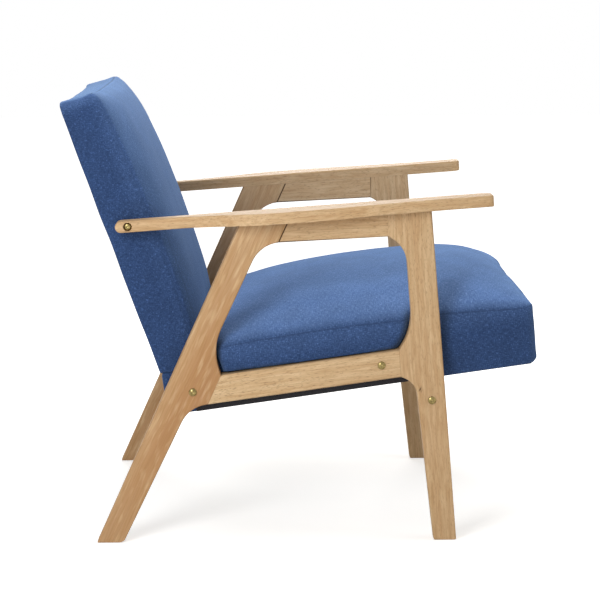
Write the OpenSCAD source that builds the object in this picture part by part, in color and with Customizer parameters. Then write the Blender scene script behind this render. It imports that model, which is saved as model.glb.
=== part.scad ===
// Lounge armchair: two open wooden side frames that carry a tilted seat and a leaning back.
// The chair faces -Y and stands on Z = 0. Side shapes are drawn as [y, z] and set out along X.
// Right and left are the sitter's, so the right side is at -X.

/* [Side frames] */
// Clear width between the two side frames
inner_w = 518; // [480:1:580]
// Thickness of the legs and rails
frame_t = 26; // [24:0.5:32]
// Lean of the rear leg's back edge from upright
rear_lean = 24.4; // [22:0.1:26]
// How far the rear foot's back corner stands out behind the seat
rear_foot_out = 116.4; // [108:0.2:126]
// Length of the rear foot on the floor
rear_foot_len = 43; // [36:0.5:48]
// Lean of the front leg's front edge from upright
front_lean = 4.6; // [3:0.1:6]
// Place of the front foot's front corner
front_foot_y = -249.5; // [-258:0.5:-240]
// Length of the front foot on the floor
front_foot_len = 36.8; // [32:0.2:42]
// Depth of the lower rail
seat_rail_h = 44.6; // [38:0.2:50]
// Height of the upper rail's underside, half way along the chair
arm_rail_z = 491.6; // [480:0.2:497]

/* [Armrests] */
// Height of the armrest's underside, half way along the chair
arm_z = 525.9; // [520:0.2:540]
// Rise of the armrest towards the front
arm_tilt = 3.92; // [3:0.02:5]
// Thickness of the armrest
arm_t = 18; // [16:0.2:22]
// Place of the armrest's front tip
arm_tip_y = -303.5; // [-320:0.5:-290]
// Width of the armrest at its rear end
arm_rear_w = 28; // [27:0.5:34]
// Width of the armrest at its widest
arm_mid_w = 67; // [50:0.5:80]
// Width of the armrest at its tip
arm_tip_w = 45; // [38:0.5:60]

/* [Seat] */
// Tilt of the seat, down towards the back
seat_tilt = 7.8; // [6.5:0.1:9]
// Place of the seat's lower front edge
seat_y = -378; // [-390:0.5:-366]
// Height of the seat's lower front edge
seat_z = 286.5; // [280:0.1:292]
// Length of the seat's underside
seat_len = 601; // [590:0.5:612]
// Height of the seat's side up to its seam
seat_side_h = 98; // [90:0.5:106]
// Rise of the seat's crown above the seam
seat_crown = 78.5; // [60:0.5:84]
// Height of the ledge that the back stands on
ledge_h = 69.5; // [67:0.5:76]

/* [Back] */
// Lean of the back from upright
back_lean = 19.5; // [18:0.1:21]
// Height of the back along its lean
back_len = 458; // [440:0.5:476]
// Thickness of the back's side at its thickest
back_side_t = 73; // [70:0.5:78]
// Rise of the back's crown above the seam
back_crown = 35; // [28:0.5:42]

/* [Covers and timber] */
// Thickness of the woven cover with its wadding
cover_t = 5.7; // [4.5:0.1:6.5]
// Thickness of the seat frame's side rails and the back frame's stiles
timber_t = 22; // [20:0.5:26]
// Width of a webbing strap
strap_w = 50; // [40:1:54]
// Diameter of the bolts
bolt_d = 6; // [5:0.1:6.5]
// Diameter of the bolts' domed heads
bolt_head_d = 13; // [12:0.1:13.5]
// Diameter of the wooden dowels
dowel_d = 8; // [6:0.2:9]

/* [Hidden] */

// Colours
oak = [0.85, 0.68, 0.47];
pine = [0.88, 0.78, 0.6];
linen = [0.2, 0.31, 0.52];
foam_yellow = [0.93, 0.88, 0.7];
strap_black = [0.12, 0.12, 0.13];
brass = [0.66, 0.58, 0.42];
zinc = [0.72, 0.73, 0.75];
fibreboard = [0.55, 0.42, 0.3];

// Clearances
overrun = 1;            // how far a cut runs past what it cuts
soft_gap = 0.3;         // between a soft piece and its neighbour
side_gap = 1;           // between an upholstered side and the wooden frame
hole_gap = 0.1;         // round a dowel, a nut or a screw in its hole
bolt_gap = 0.3;         // round a bolt in its hole
end_gap = 0.5;          // past the end of a dowel in its hole

// Side frame: the sizes that shape the legs between their joints
rear_low_lean = 26;     // front edge of the rear leg below the seat rail
rear_top_lean = 25.1;   // front edge of the rear leg above the seat rail
rear_top_len = 48.3;    // level width of the rear leg just below the armrest
front_low_lean = 6.6;   // back edge of the front leg below the seat rail
front_top_lean = 4.36;  // back edge of the front leg above the seat rail
front_top_len = 44.6;   // level width of the front leg just below the armrest
arm_rail_tilt = 2.1;    // rise of the arm rail's underside towards the front
back_foot_out = 2;      // how far the back's foot stands out behind the seat's ledge
rail_lift = 13.8;       // from the seat's underside up to the seat rail's underside
rear_haunch = 27.5;     // from the rear leg's edge out to its joints
front_haunch = 22;      // from the front leg's edge out to the seat rail's joint
front_top_haunch = 28;  // from the front leg's edge out to the arm rail's joint
rear_foot_chamfer = 4;
fillet_r = 52;          // hollow corners under the arm rail and under the seat rail
front_low_r = 36;       // hollow corner of the front leg under the seat rail
haunch_r = 90;          // long hollow above the seat rail
arc_steps = 10;
pin_share = 0.28;       // from a rail's edge in to its dowels

// Armrest
arm_flare_len = 85;     // from the bolt forward to where its outer edge starts to swing out
arm_swing_len = 155;    // from there forward to where it is widest
arm_tip_len = 54;       // straight part of its outer edge at the tip
arm_past_bolt = 19.4;   // from the bolt to the rear end
arm_tip_r = 3;          // rounding of the tip seen from the side
arm_corner_r = 9;       // rounding of the tip's outer corner seen from above
arm_inner_r = 18;       // rounding of its inner corner
arm_steps = 22;

// Upholstery forms
hem_t = 1.5;            // cover turned in under the seat
seat_peak_share = 0.48; // place of the crown's highest line along the seat
seat_fall_share = 0.97; // where the crown would be down to the seam again, behind the back
seat_fall_power = 1.75;
front_swell = 2.9;      // how far forward the crown stays high
front_root = 0.53;      // how steeply it leaves the front seam
puff_share = 0.35;      // share of a crown that rises right behind the seam
puff_power = 10;
dome_power = 2.2;
side_draw = 4;          // how far a side pulls in between its corners
front_puff = 7.8;       // how far the front face swells forward
front_low_puff = 1.6;   // how low down that swelling starts
front_draw = 9;         // how far the front seam pulls back between its corners
front_end_share = 0.11; // how much of the seat's length the front face's shape fades over
corner_end_share = 0.03;
contact_n = 98;         // the plane, along the back's thickness, where seat and back meet
corner_r = 12;          // rounding of the upholstered corners
crown_steps = 14;
cap_puff_share = 0.5;

// Seat and back frames
seat_rail_top = 60;     // side rails' top above the seat's underside
strap_t = 2;
rail_foot = hem_t + 2 * soft_gap;
front_rail_t = 22;
rear_rail_t = 28;
block_leg = 40;
block_h = 24;
stile_front = 50;       // front of the back frame along the back's thickness
panel_t = 2.5;
back_rail_t = 34;
back_rail_w = 45;
rail_under_bolt = 6;
screw_d = 4.4;
screw_head_d = 8;
screw_head_h = 3;
screw_len = 58;

// Bolts and nuts
bolt_head_h = 3.5;
bolt_dome_h = 2.5;
socket_d = 4.6;
socket_h = 2.2;
tee_d = 19;
tee_t = 1.5;
tee_barrel_d = 7.8;
tee_barrel_h = 9;
thread_gap = 0.05;      // between a bolt and its nut's bore
barrel_d = 10;
barrel_h = 15;
bolt_past_nut = 2;
bolt_m = 37.5;          // height of the seat bolts above the seat's underside
front_bolt_in = 29.3;   // from the front joint back to its bolt
rear_bolt_in = 47.5;    // from the seat's rear end forward to its bolt
stretcher_z = 232.3;
stretcher_t = 22;
stretcher_h = 40;
stretcher_nut_in = 28;  // from the stretcher's end to its barrel nut
stretcher_pin_off = 12; // from the bolt down to the locating dowel
arm_bolt_n = 37.5;      // place of the arm bolt along the back's thickness
arm_bore_d = 14;
arm_bore_h = 4.6;
back_bolt_share = 0.6;  // place of the back bolts, out from the middle of the seat frame
back_bolt_in = 21;      // from the seat's rear end to the back bolts
back_bolt_bore_d = 17;
back_bolt_bore_h = 24;
back_nut_rise = 20;     // from the back frame's foot up to its barrel nuts
washer_d = 15;
washer_t = 1.6;
dowel_len = 40;
arm_dowel_len = 28;
arm_dowel_in = 11;      // how far an arm dowel goes up into the armrest
arm_dowel_in_y = 14;     // from a leg's outer edge to its first arm dowel
arm_dowel_apart = 24;
dust_t = 0.5;
dust_edge = 6;
dust_turn_up = 9.5;     // edges of the dust cover turned up beside the seat, between the legs

// Places worked out from the sizes above
in_x = inner_w / 2;
out_x = in_x + frame_t;
soft_w = inner_w - 2 * side_gap;
half_w = soft_w / 2;
wood_x = half_w - cover_t - soft_gap;

// Directions and points in the side view, as [y, z]
function up(lean) = [-sin(lean), cos(lean)];
function down(lean) = -up(lean);
function rearward(tilt) = [cos(tilt), -sin(tilt)];
function meet(p, a, q, b) =
  p + a * ((q.x - p.x) * b.y - (q.y - p.y) * b.x) / (a.x * b.y - a.y * b.x);
function seat_pt(s, m) = [seat_y, seat_z] + s * rearward(seat_tilt) - m * down(-seat_tilt);
function back_pt(n, a) = back_foot - n * rearward(back_lean) + a * [sin(back_lean), cos(back_lean)];
function reversed(list) = [for (i = [len(list) - 1 : -1 : 0]) list[i]];
function ease(t) = let (u = min(max(t, 0), 1)) u * u * (3 - 2 * u);

// A hollow corner: an arc that leaves a leg's edge and ends on a joint
function haunch(edge, away, joint, r) =
  let (
    side = [-away.y, away.x],
    reach = (joint - edge) * side,
    normal = reach > 0 ? side : -side,
    d = abs(reach),
    h = sqrt(2 * r * d - d * d),
    centre = edge + away * ((joint - edge) * away + h) + normal * r,
    sweep = acos(1 - d / r)
  )
  [for (k = [0 : arc_steps])
    let (turn = sweep * k / arc_steps) centre - normal * r * cos(turn) - away * r * sin(turn)];

back_foot = seat_pt(seat_len + back_foot_out, ledge_h + soft_gap);

// Edges of the legs
rear_foot = [seat_pt(seat_len, 0).x + rear_foot_out, 0];
rear_foot_front = rear_foot - [rear_foot_len, 0];
front_foot = [front_foot_y, 0];
front_foot_back = [front_foot_y + front_foot_len, 0];
arm_under = [0, arm_z];
arm_along = rearward(arm_tilt);
rear_head = meet(rear_foot, up(rear_lean), arm_under, arm_along);
rear_edge_top = rear_head - [rear_top_len, 0];
front_head = meet(front_foot, up(-front_lean), arm_under, arm_along);
front_edge_top = front_head + [front_top_len, 0];

// Joints of the seat rail, at its underside and at its top
rail_low = seat_pt(0, rail_lift);
rail_high = seat_pt(0, rail_lift + seat_rail_h);
rail_mid = seat_pt(0, rail_lift + seat_rail_h / 2);
rail_along = rearward(seat_tilt);
rear_seat_joint = meet(rear_foot_front, up(rear_low_lean), rail_mid, rail_along) - [rear_haunch, 0];
front_seat_joint =
  meet(front_foot_back, up(-front_low_lean), rail_mid, rail_along) + [front_haunch, 0];
rear_j1 = meet(rear_seat_joint, up(rear_lean), rail_low, rail_along);
rear_j2 = meet(rear_seat_joint, up(rear_lean), rail_high, rail_along);
front_j1 = meet(front_seat_joint, up(-front_lean), rail_low, rail_along);
front_j2 = meet(front_seat_joint, up(-front_lean), rail_high, rail_along);

// Joints of the arm rail, at its underside and under the armrest
arm_rail_low = [0, arm_rail_z];
arm_rail_along = rearward(arm_rail_tilt);
rear_j3 = meet(rear_edge_top, up(rear_top_lean), arm_rail_low, arm_rail_along) - [rear_haunch, 0];
rear_j4 = meet(rear_j3, up(rear_lean), arm_under, arm_along);
front_j3 =
  meet(front_edge_top, up(-front_top_lean), arm_rail_low, arm_rail_along) + [front_top_haunch, 0];
front_j4 = meet(front_j3, up(0), arm_under, arm_along);

rear_leg_outline = concat(
  [rear_foot, rear_foot_front + [rear_foot_chamfer, 0],
   rear_foot_front + up(rear_low_lean) * rear_foot_chamfer],
  haunch(rear_foot_front, down(rear_low_lean), rear_j1, fillet_r),
  reversed(haunch(rear_edge_top, up(rear_top_lean), rear_j2, haunch_r)),
  haunch(rear_edge_top, down(rear_top_lean), rear_j3, fillet_r),
  [rear_j4, rear_head]
);

front_leg_outline = concat(
  [front_foot, front_head, front_j4],
  reversed(haunch(front_edge_top, down(-front_top_lean), front_j3, fillet_r)),
  haunch(front_edge_top, up(-front_top_lean), front_j2, haunch_r),
  reversed(haunch(front_foot_back, down(-front_low_lean), front_j1, front_low_r)),
  [front_foot_back]
);

// Dowels of one side frame: [middle, turn about X]
function pair(p, q, inset) = [p + (q - p) * inset, q - (q - p) * inset];
frame_pins = concat(
  [for (p = pair(rear_j1, rear_j2, pin_share)) [p, seat_tilt]],
  [for (p = pair(front_j1, front_j2, pin_share)) [p, seat_tilt]],
  [for (p = pair(rear_j3, rear_j4, pin_share)) [p, arm_tilt]],
  [for (p = pair(front_j3, front_j4, pin_share)) [p, arm_tilt]]
);

// Dowels between one side frame and its armrest, on the underside of the armrest
arm_pin_y = [
  rear_head.x - arm_dowel_in_y, rear_head.x - arm_dowel_in_y - arm_dowel_apart,
  front_head.x + arm_dowel_in_y, front_head.x + arm_dowel_in_y + arm_dowel_apart
];
function on_underside(y) = meet([y, 0], up(0), arm_under, arm_along);

// Bolts: where they cross the side frame
front_seat_bolt = meet(front_seat_joint + [front_bolt_in, 0], up(0), seat_pt(0, bolt_m), rail_along);
rear_seat_bolt = seat_pt(seat_len - rear_bolt_in, bolt_m);
stretcher_at = (meet(front_foot, up(-front_lean), [0, stretcher_z], rearward(0))
  + meet(front_foot_back, up(-front_low_lean), [0, stretcher_z], rearward(0))) / 2;
stretcher_pin_at = stretcher_at + stretcher_pin_off * down(-front_lean);
arm_middle = arm_under + up(-arm_tilt) * arm_t / 2;
arm_bolt_at = meet(back_pt(arm_bolt_n, 0), [sin(back_lean), cos(back_lean)], arm_middle, arm_along);
tee_bolt_len = frame_t + side_gap + cover_t + soft_gap + timber_t + bolt_past_nut;

// Lays a side view out along X, from x0 to x1
module across(x0, x1) {
  translate([x0, 0, 0]) rotate([90, 0, 90]) linear_extrude(x1 - x0) children();
}

// One board of a side frame; side is -1 on the right and 1 on the left
module frame_board(side, outline) {
  x0 = side > 0 ? in_x : -out_x;
  across(x0, x0 + frame_t) polygon(outline);
}

// A round hole or rod along X through a point of the side view
module rod(at, d, x0, x1) {
  translate([min(x0, x1), at.x, at.y]) rotate([0, 90, 0]) cylinder(d = d, h = abs(x1 - x0), $fn = 48);
}

module on_seat() {
  translate([0, seat_y, seat_z]) rotate([-seat_tilt, 0, 0]) children();
}

// Local -Y is the back's thickness and +Z its height
module on_back() {
  translate([0, back_foot.x, back_foot.y]) rotate([-back_lean, 0, 0]) children();
}

module on_arm() {
  translate([0, 0, arm_z]) rotate([-arm_tilt, 0, 0]) children();
}

module frame_pin_set(side, clear, ends) {
  for (pin = frame_pins)
    translate([side * (in_x + frame_t / 2), pin[0].x, pin[0].y])
      rotate([-pin[1] - 90, 0, 0])
        cylinder(d = dowel_d + 2 * clear, h = dowel_len + 2 * ends, center = true, $fn = 32);
}

module arm_pin_set(side, clear, ends) {
  for (y = arm_pin_y)
    translate([side * (in_x + frame_t / 2), on_underside(y).x, on_underside(y).y])
      rotate([-arm_tilt, 0, 0])
        translate([0, 0, arm_dowel_in - arm_dowel_len - ends])
          cylinder(d = dowel_d + 2 * clear, h = arm_dowel_len + 2 * ends, $fn = 32);
}

// A hole right through one side frame
module frame_hole(side, at, d) {
  rod(at, d, side * (in_x - overrun), side * (out_x + overrun));
}

module rear_leg(side) {
  color(oak) difference() {
    frame_board(side, rear_leg_outline);
    frame_pin_set(side, hole_gap, end_gap);
    arm_pin_set(side, hole_gap, end_gap);
    frame_hole(side, rear_seat_bolt, bolt_d + 2 * bolt_gap);
  }
}

module front_leg(side) {
  color(oak) difference() {
    frame_board(side, front_leg_outline);
    frame_pin_set(side, hole_gap, end_gap);
    arm_pin_set(side, hole_gap, end_gap);
    frame_hole(side, stretcher_at, bolt_d + 2 * bolt_gap);
    rod(stretcher_pin_at, dowel_d + 2 * hole_gap,
      side * (in_x - overrun), side * (in_x + dowel_len / 4 + end_gap));
  }
}

module seat_rail(side) {
  color(oak) difference() {
    frame_board(side, [rear_j1, rear_j2, front_j2, front_j1]);
    frame_pin_set(side, hole_gap, end_gap);
    frame_hole(side, front_seat_bolt, bolt_d + 2 * bolt_gap);
  }
}

module arm_rail(side) {
  color(oak) difference() {
    frame_board(side, [rear_j3, rear_j4, front_j4, front_j3]);
    frame_pin_set(side, hole_gap, end_gap);
  }
}

// Armrest: its outline from above, cut by its outline from the side
arm_rear = arm_bolt_at.x / cos(arm_tilt) + arm_past_bolt;
arm_tip = arm_tip_y / cos(arm_tilt);
arm_flare_y = arm_bolt_at.x - arm_flare_len;
arm_mid_y = arm_flare_y - arm_swing_len;
arm_taper_y = arm_tip + arm_tip_len;
function arm_w(y) = y > arm_mid_y
  ? arm_rear_w + (arm_mid_w - arm_rear_w) * ease((arm_flare_y - y) / (arm_flare_y - arm_mid_y))
  : arm_mid_w + (arm_tip_w - arm_mid_w) * ease((arm_mid_y - y) / (arm_mid_y - arm_taper_y));
function arc(centre, r, from, to) =
  [for (k = [0 : arc_steps]) let (a = from + (to - from) * k / arc_steps) centre + r * [cos(a), sin(a)]];

arm_plan = concat(
  [[0, arm_rear], [arm_rear_w, arm_rear]],
  [for (k = [0 : arm_steps])
    let (y = arm_flare_y + (arm_taper_y - arm_flare_y) * k / arm_steps) [arm_w(y), y]],
  reversed(arc([arm_tip_w - arm_corner_r, arm_tip + arm_corner_r], arm_corner_r, -90, 0)),
  reversed(arc([arm_inner_r, arm_tip + arm_inner_r], arm_inner_r, -180, -90))
);
arm_side = concat(
  arc([arm_rear - arm_t / 2, arm_t / 2], arm_t / 2, -90, 90),
  arc([arm_tip + arm_tip_r, arm_t - arm_tip_r], arm_tip_r, 90, 180),
  arc([arm_tip + arm_tip_r, arm_tip_r], arm_tip_r, 180, 270)
);

module armrest(side) {
  color(oak) difference() {
    on_arm() intersection() {
      mirror([side > 0 ? 0 : 1, 0, 0]) translate([in_x, 0, 0]) linear_extrude(arm_t) polygon(arm_plan);
      across(-in_x - 2 * arm_mid_w, in_x + 2 * arm_mid_w) polygon(arm_side);
    }
    arm_pin_set(side, hole_gap, end_gap);
    rod(arm_bolt_at, bolt_d + 2 * bolt_gap, side * (in_x - overrun), side * (in_x + arm_rear_w + overrun));
    rod(arm_bolt_at, arm_bore_d,
      side * (in_x + arm_rear_w - arm_bore_h), side * (in_x + arm_rear_w + overrun));
  }
}

module frame_dowels() {
  color(pine) for (side = [-1, 1]) frame_pin_set(side, 0, 0);
}

module arm_dowels() {
  color(pine) for (side = [-1, 1]) arm_pin_set(side, 0, 0);
}

// Domed bolt along +X with its head's seat at x = 0 and the shank towards -X
module domed_bolt(len) {
  cap_r = (bolt_head_d * bolt_head_d / 4 + bolt_dome_h * bolt_dome_h) / (2 * bolt_dome_h);
  rotate([0, 90, 0]) difference() {
    union() {
      translate([0, 0, -len]) cylinder(d = bolt_d, h = len, $fn = 48);
      intersection() {
        cylinder(d = bolt_head_d, h = bolt_head_h, $fn = 48);
        translate([0, 0, bolt_head_h - cap_r]) sphere(r = cap_r, $fn = 96);
      }
    }
    translate([0, 0, bolt_head_h - socket_h]) cylinder(d = socket_d, h = bolt_head_h, $fn = 6);
  }
}

module bolt_at(side, at, x, len) {
  translate([side * x, at.x, at.y]) mirror([side > 0 ? 0 : 1, 0, 0]) domed_bolt(len);
}

// Tee nut along X: its flange lies on the inner face at x, its barrel runs outwards
module tee_nut(side, at, x) {
  difference() {
    union() {
      rod(at, tee_d, side * (x - tee_t), side * x);
      rod(at, tee_barrel_d, side * x, side * (x + tee_barrel_h));
    }
    rod(at, bolt_d + 2 * thread_gap, side * (x - tee_t - overrun), side * (x + tee_barrel_h + overrun));
  }
}

// The stepped hole for a tee nut and its bolt, through timber from x outwards
module tee_hole(side, at, x) {
  rod(at, bolt_d + 2 * bolt_gap, side * (x - overrun), side * (x + timber_t + overrun));
  rod(at, tee_barrel_d + 2 * hole_gap, side * (x - overrun), side * (x + tee_barrel_h + end_gap));
}

tee_x = wood_x - timber_t;
back_bolt_x = tee_x * back_bolt_share;
module cover_holes(points) {
  for (side = [-1, 1], at = points)
    rod(at, bolt_d + 4 * bolt_gap, side * (wood_x - overrun), side * (half_w + overrun));
}

module front_stretcher() {
  color(oak) difference() {
    translate([-in_x, stretcher_at.x, stretcher_at.y]) rotate([front_lean, 0, 0])
      translate([0, -stretcher_t / 2, -stretcher_h / 2]) cube([inner_w, stretcher_t, stretcher_h]);
    for (side = [-1, 1]) {
      rod(stretcher_at, bolt_d + 2 * bolt_gap,
        side * (in_x - stretcher_nut_in - barrel_d), side * (in_x + overrun));
      rod(stretcher_pin_at, dowel_d + 2 * hole_gap,
        side * (in_x - dowel_len * 3 / 4 - end_gap), side * (in_x + overrun));
      stretcher_nut_place(side) translate([0, 0, -stretcher_h])
        cylinder(d = barrel_d + 2 * hole_gap, h = stretcher_h + barrel_h / 2 + end_gap, $fn = 48);
    }
  }
}

module stretcher_nut_place(side) {
  translate([side * (in_x - stretcher_nut_in), stretcher_at.x, stretcher_at.y])
    rotate([front_lean, 0, 0]) children();
}

module stretcher_bolts() {
  color(brass) for (side = [-1, 1])
    bolt_at(side, stretcher_at, out_x, frame_t + stretcher_nut_in + barrel_d / 2 + bolt_past_nut);
}

module stretcher_barrel_nuts() {
  color(zinc) for (side = [-1, 1]) difference() {
    stretcher_nut_place(side) cylinder(d = barrel_d, h = barrel_h, center = true, $fn = 48);
    rod(stretcher_at, bolt_d + 2 * thread_gap,
      side * (in_x - stretcher_nut_in - barrel_d), side * (in_x - stretcher_nut_in + barrel_d));
  }
}

module stretcher_dowels() {
  color(pine) for (side = [-1, 1])
    rod(stretcher_pin_at, dowel_d, side * (in_x - dowel_len * 3 / 4), side * (in_x + dowel_len / 4));
}

// Seat frame, in the seat's own directions: Y along its underside from the front, Z up from it
seat_in = cover_t + soft_gap;
seat_front = 2 * seat_in;
seat_rear = seat_len - seat_in;
end_rail_top = seat_rail_top - strap_t;
end_rail_w = 2 * tee_x;

module seat_side_rail(side) {
  color(pine) difference() {
    on_seat() translate([side > 0 ? tee_x : -wood_x, seat_front, rail_foot])
      cube([timber_t, seat_rear - seat_front, seat_rail_top - rail_foot]);
    tee_hole(side, front_seat_bolt, tee_x);
    tee_hole(side, rear_seat_bolt, tee_x);
    seat_screw_set(hole_gap);
  }
}

module seat_end_rail(y, t) {
  on_seat() translate([-tee_x, y, rail_foot]) cube([end_rail_w, t, end_rail_top - rail_foot]);
}

module seat_front_rail() {
  color(pine) difference() {
    seat_end_rail(seat_front, front_rail_t);
    seat_screw_set(hole_gap);
  }
}

module seat_rear_rail() {
  color(pine) difference() {
    seat_end_rail(seat_rear - rear_rail_t, rear_rail_t);
    seat_screw_set(hole_gap);
    back_bolt_holes();
  }
}

// One countersunk screw along -X from the face at x = 0
module screw(clear) {
  rotate([0, -90, 0]) {
    cylinder(d = screw_d + 2 * clear, h = screw_len + (clear > 0 ? end_gap : 0), $fn = 24);
    cylinder(d = screw_head_d + 2 * clear, h = screw_head_h + clear, $fn = 24);
    if (clear > 0) translate([0, 0, -overrun]) cylinder(d = screw_head_d + 2 * clear, h = overrun, $fn = 24);
  }
}

seat_screw_y = [seat_front + front_rail_t / 2, seat_rear - rear_rail_t / 2];
seat_screw_z_shares = [0.25, 0.75];
module seat_screw_set(clear) {
  on_seat() for (side = [-1, 1], y = seat_screw_y, share = seat_screw_z_shares)
    translate([side * wood_x, y, rail_foot + (end_rail_top - rail_foot) * share])
      mirror([side > 0 ? 0 : 1, 0, 0]) screw(clear);
}

module seat_frame_screws() {
  color(zinc) seat_screw_set(0);
}

module corner_block(x_sign, y, y_sign) {
  translate([x_sign * tee_x, y, rail_foot]) linear_extrude(block_h)
    polygon([[0, 0], [-x_sign * block_leg, 0], [0, y_sign * block_leg]]);
}

module seat_corner_blocks() {
  color(pine) on_seat() for (side = [-1, 1]) {
    corner_block(side, seat_front + front_rail_t, 1);
    corner_block(side, seat_rear - rear_rail_t, -1);
  }
}

// Straps spread evenly over the gap between two rails
strap_count = 5;
function spread(low, high, count) = [for (k = [0 : count - 1]) low + (high - low) * (k + 1 / 2) / count];

module seat_long_webbing() {
  color(strap_black) on_seat() for (x = spread(-tee_x, tee_x, strap_count))
    translate([x - strap_w / 2, seat_front, end_rail_top])
      cube([strap_w, seat_rear - seat_front, strap_t]);
}

module seat_cross_webbing() {
  color(strap_black) on_seat()
    for (y = spread(seat_front + front_rail_t, contact_s - cover_t, strap_count))
      translate([-wood_x, y - strap_w / 2, seat_rail_top]) cube([2 * wood_x, strap_w, strap_t]);
}

// Upholstered forms are lofted from rings of points. A ring runs round one slice of the form:
// the flat underside, one side, the crown and the other side.
function puffed(t, power = dome_power) =
  puff_share * (1 - pow(abs(t), puff_power)) + (1 - puff_share) * (1 - pow(abs(t), power));
function loft_points(rings, nose, tail) = concat([for (ring = rings) each ring], [nose, tail]);
function loft_faces(n, m) = concat(
  [for (j = [0 : m - 2], i = [0 : n - 1])
    let (a = j * n + i, b = j * n + (i + 1) % n) each [[a, a + n, b], [b, a + n, b + n]]],
  [for (i = [0 : n - 1]) [i, (i + 1) % n, n * m]],
  [for (i = [0 : n - 1]) [(m - 1) * n + (i + 1) % n, (m - 1) * n + i, n * m + 1]]
);
module loft(rings, nose, tail) {
  polyhedron(loft_points(rings, nose, tail), loft_faces(len(rings[0]), len(rings)), convexity = 4);
}

// One ring across the form: half width w, from height low to the seam, then the crown
// draw pulls the seam in, cut flattens the crown at a height, r rounds the lower corners
side_shares = [0.3, 0.62, 0.85];
reversed_shares = reversed(side_shares);
no_limit = 10 * seat_len;
function ring(w, low, seam, crown, draw, r, flat) = concat(
  [[-w + r, low], [-w, low + r]],
  [for (share = side_shares) [-w + draw * ease(share), low + r + (seam - low - r) * share]],
  [for (k = [0 : crown_steps])
    let (t = sin(90 * (2 * k / crown_steps - 1)))
      [t * (w - draw), min(seam + crown * puffed(t), flat)]],
  [for (share = reversed_shares) [w - draw * ease(share), low + r + (seam - low - r) * share]],
  [[w, low + r], [w - r, low]]
);

// Where the plane between seat and back crosses the seat's underside, as [along, height]
function to_seat(p) = let (d = p - [seat_y, seat_z])
  [d * rearward(seat_tilt), d * up(-seat_tilt)];
contact_foot = to_seat(meet(back_pt(contact_n, 0), [sin(back_lean), cos(back_lean)],
  [seat_y, seat_z], rearward(seat_tilt)));
contact_slope = tan(back_lean - seat_tilt);
contact_s = contact_foot[0];

// Seat form: stations along the seat, with inset from the outside and its lowest height
seat_station_shares = [0, 0.008, 0.02, 0.04, 0.07, 0.11, 0.17, 0.26, 0.38, 0.52, 0.66, 0.8, 0.92, 1];
function seat_rise(s) =
  let (
    peak = seat_len * seat_peak_share,
    t = (s - peak) / (s < peak ? peak : seat_len * seat_fall_share - peak)
  )
  t < 0 ? pow(max(1 - pow(-t, front_swell), 0), front_root) : max(puffed(t, seat_fall_power), 0);
function seat_ring(share, inset, low) =
  let (
    end = contact_s - inset - soft_gap,
    s = inset + (end - inset) * share,
    round_off = corner_r * pow(max(1 - share / corner_end_share, 0), 2),
    seam = seat_side_h - inset,
    draw = inset > 0 ? 0 : side_draw * (1 - pow(2 * share - 1, 4)),
    w = half_w - inset - round_off,
    points = ring(w, low, seam, seat_crown * seat_rise(s - inset), draw, hem_t, no_limit),
    front = inset > 0 ? 0 : max(1 - share / front_end_share, 0)
  )
  [for (p = points)
    let (
      swell = front_puff * front * ease(front_low_puff * p.y / seam),
      pull = front_draw * front * (1 - pow(p.x / half_w, 2)) * ease(p.y / seam)
    )
    [p.x, s + contact_slope * p.y * share - swell + pull, p.y]];

module seat_form(inset, low) {
  rings = [for (share = seat_station_shares) seat_ring(share, inset, low)];
  mid = (low + seat_side_h) / 2;
  end = contact_s - inset - soft_gap;
  nose = [0, inset - (inset > 0 ? 0 : front_puff * cap_puff_share), mid];
  loft(rings, nose, [0, end + contact_slope * mid, mid]);
}

module ledge_form(inset, low, top) {
  translate([-half_w + inset, contact_s / 2, low])
    cube([soft_w - 2 * inset, seat_len - inset - contact_s / 2, top - low]);
}

module seat_foam() {
  color(foam_yellow) on_seat() seat_form(cover_t + soft_gap, seat_rail_top + strap_t + soft_gap);
}

hem_w = 24;
module seat_cover() {
  color(linen) difference() {
    on_seat() difference() {
      union() {
        seat_form(0, 0);
        ledge_form(side_gap / 2, 0, ledge_h);
      }
      union() {
        seat_form(cover_t, hem_t);
        ledge_form(cover_t, hem_t, seat_rail_top + soft_gap);
      }
      translate([-half_w + hem_w, hem_w, -overrun])
        cube([soft_w - 2 * hem_w, seat_len - 2 * hem_w, hem_t + 2 * overrun]);
    }
    cover_holes([front_seat_bolt, rear_seat_bolt]);
    back_bolt_holes();
  }
}

// Thin sheet under the seat, with its long edges turned up between the legs
module dust_cover() {
  turn_from = to_seat(front_seat_joint)[0] - dust_turn_up;
  turn_to = seat_len - rear_bolt_in;
  color(strap_black) on_seat() difference() {
    union() {
      translate([-half_w + side_draw, dust_edge, -dust_t])
        cube([soft_w - 2 * side_draw, seat_len - 2 * dust_edge, dust_t]);
      for (side = [-1, 1]) {
        translate([side > 0 ? half_w - side_draw : -half_w - dust_t, turn_from, -dust_t])
          cube([side_draw + dust_t, turn_to - turn_from, dust_t]);
        translate([side > 0 ? half_w : -half_w - dust_t, turn_from, -dust_t])
          cube([dust_t, turn_to - turn_from, dust_turn_up + dust_t]);
      }
    }
    for (side = [-1, 1])
      translate([side * back_bolt_x, seat_len - back_bolt_in, -back_bolt_bore_d])
        cylinder(d = back_bolt_bore_d, h = 2 * back_bolt_bore_d, $fn = 48);
  }
}

module seat_bolts() {
  color(brass) for (side = [-1, 1], at = [front_seat_bolt, rear_seat_bolt])
    bolt_at(side, at, out_x, tee_bolt_len);
}

module seat_tee_nuts() {
  color(zinc) for (side = [-1, 1], at = [front_seat_bolt, rear_seat_bolt]) tee_nut(side, at, tee_x);
}

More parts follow.
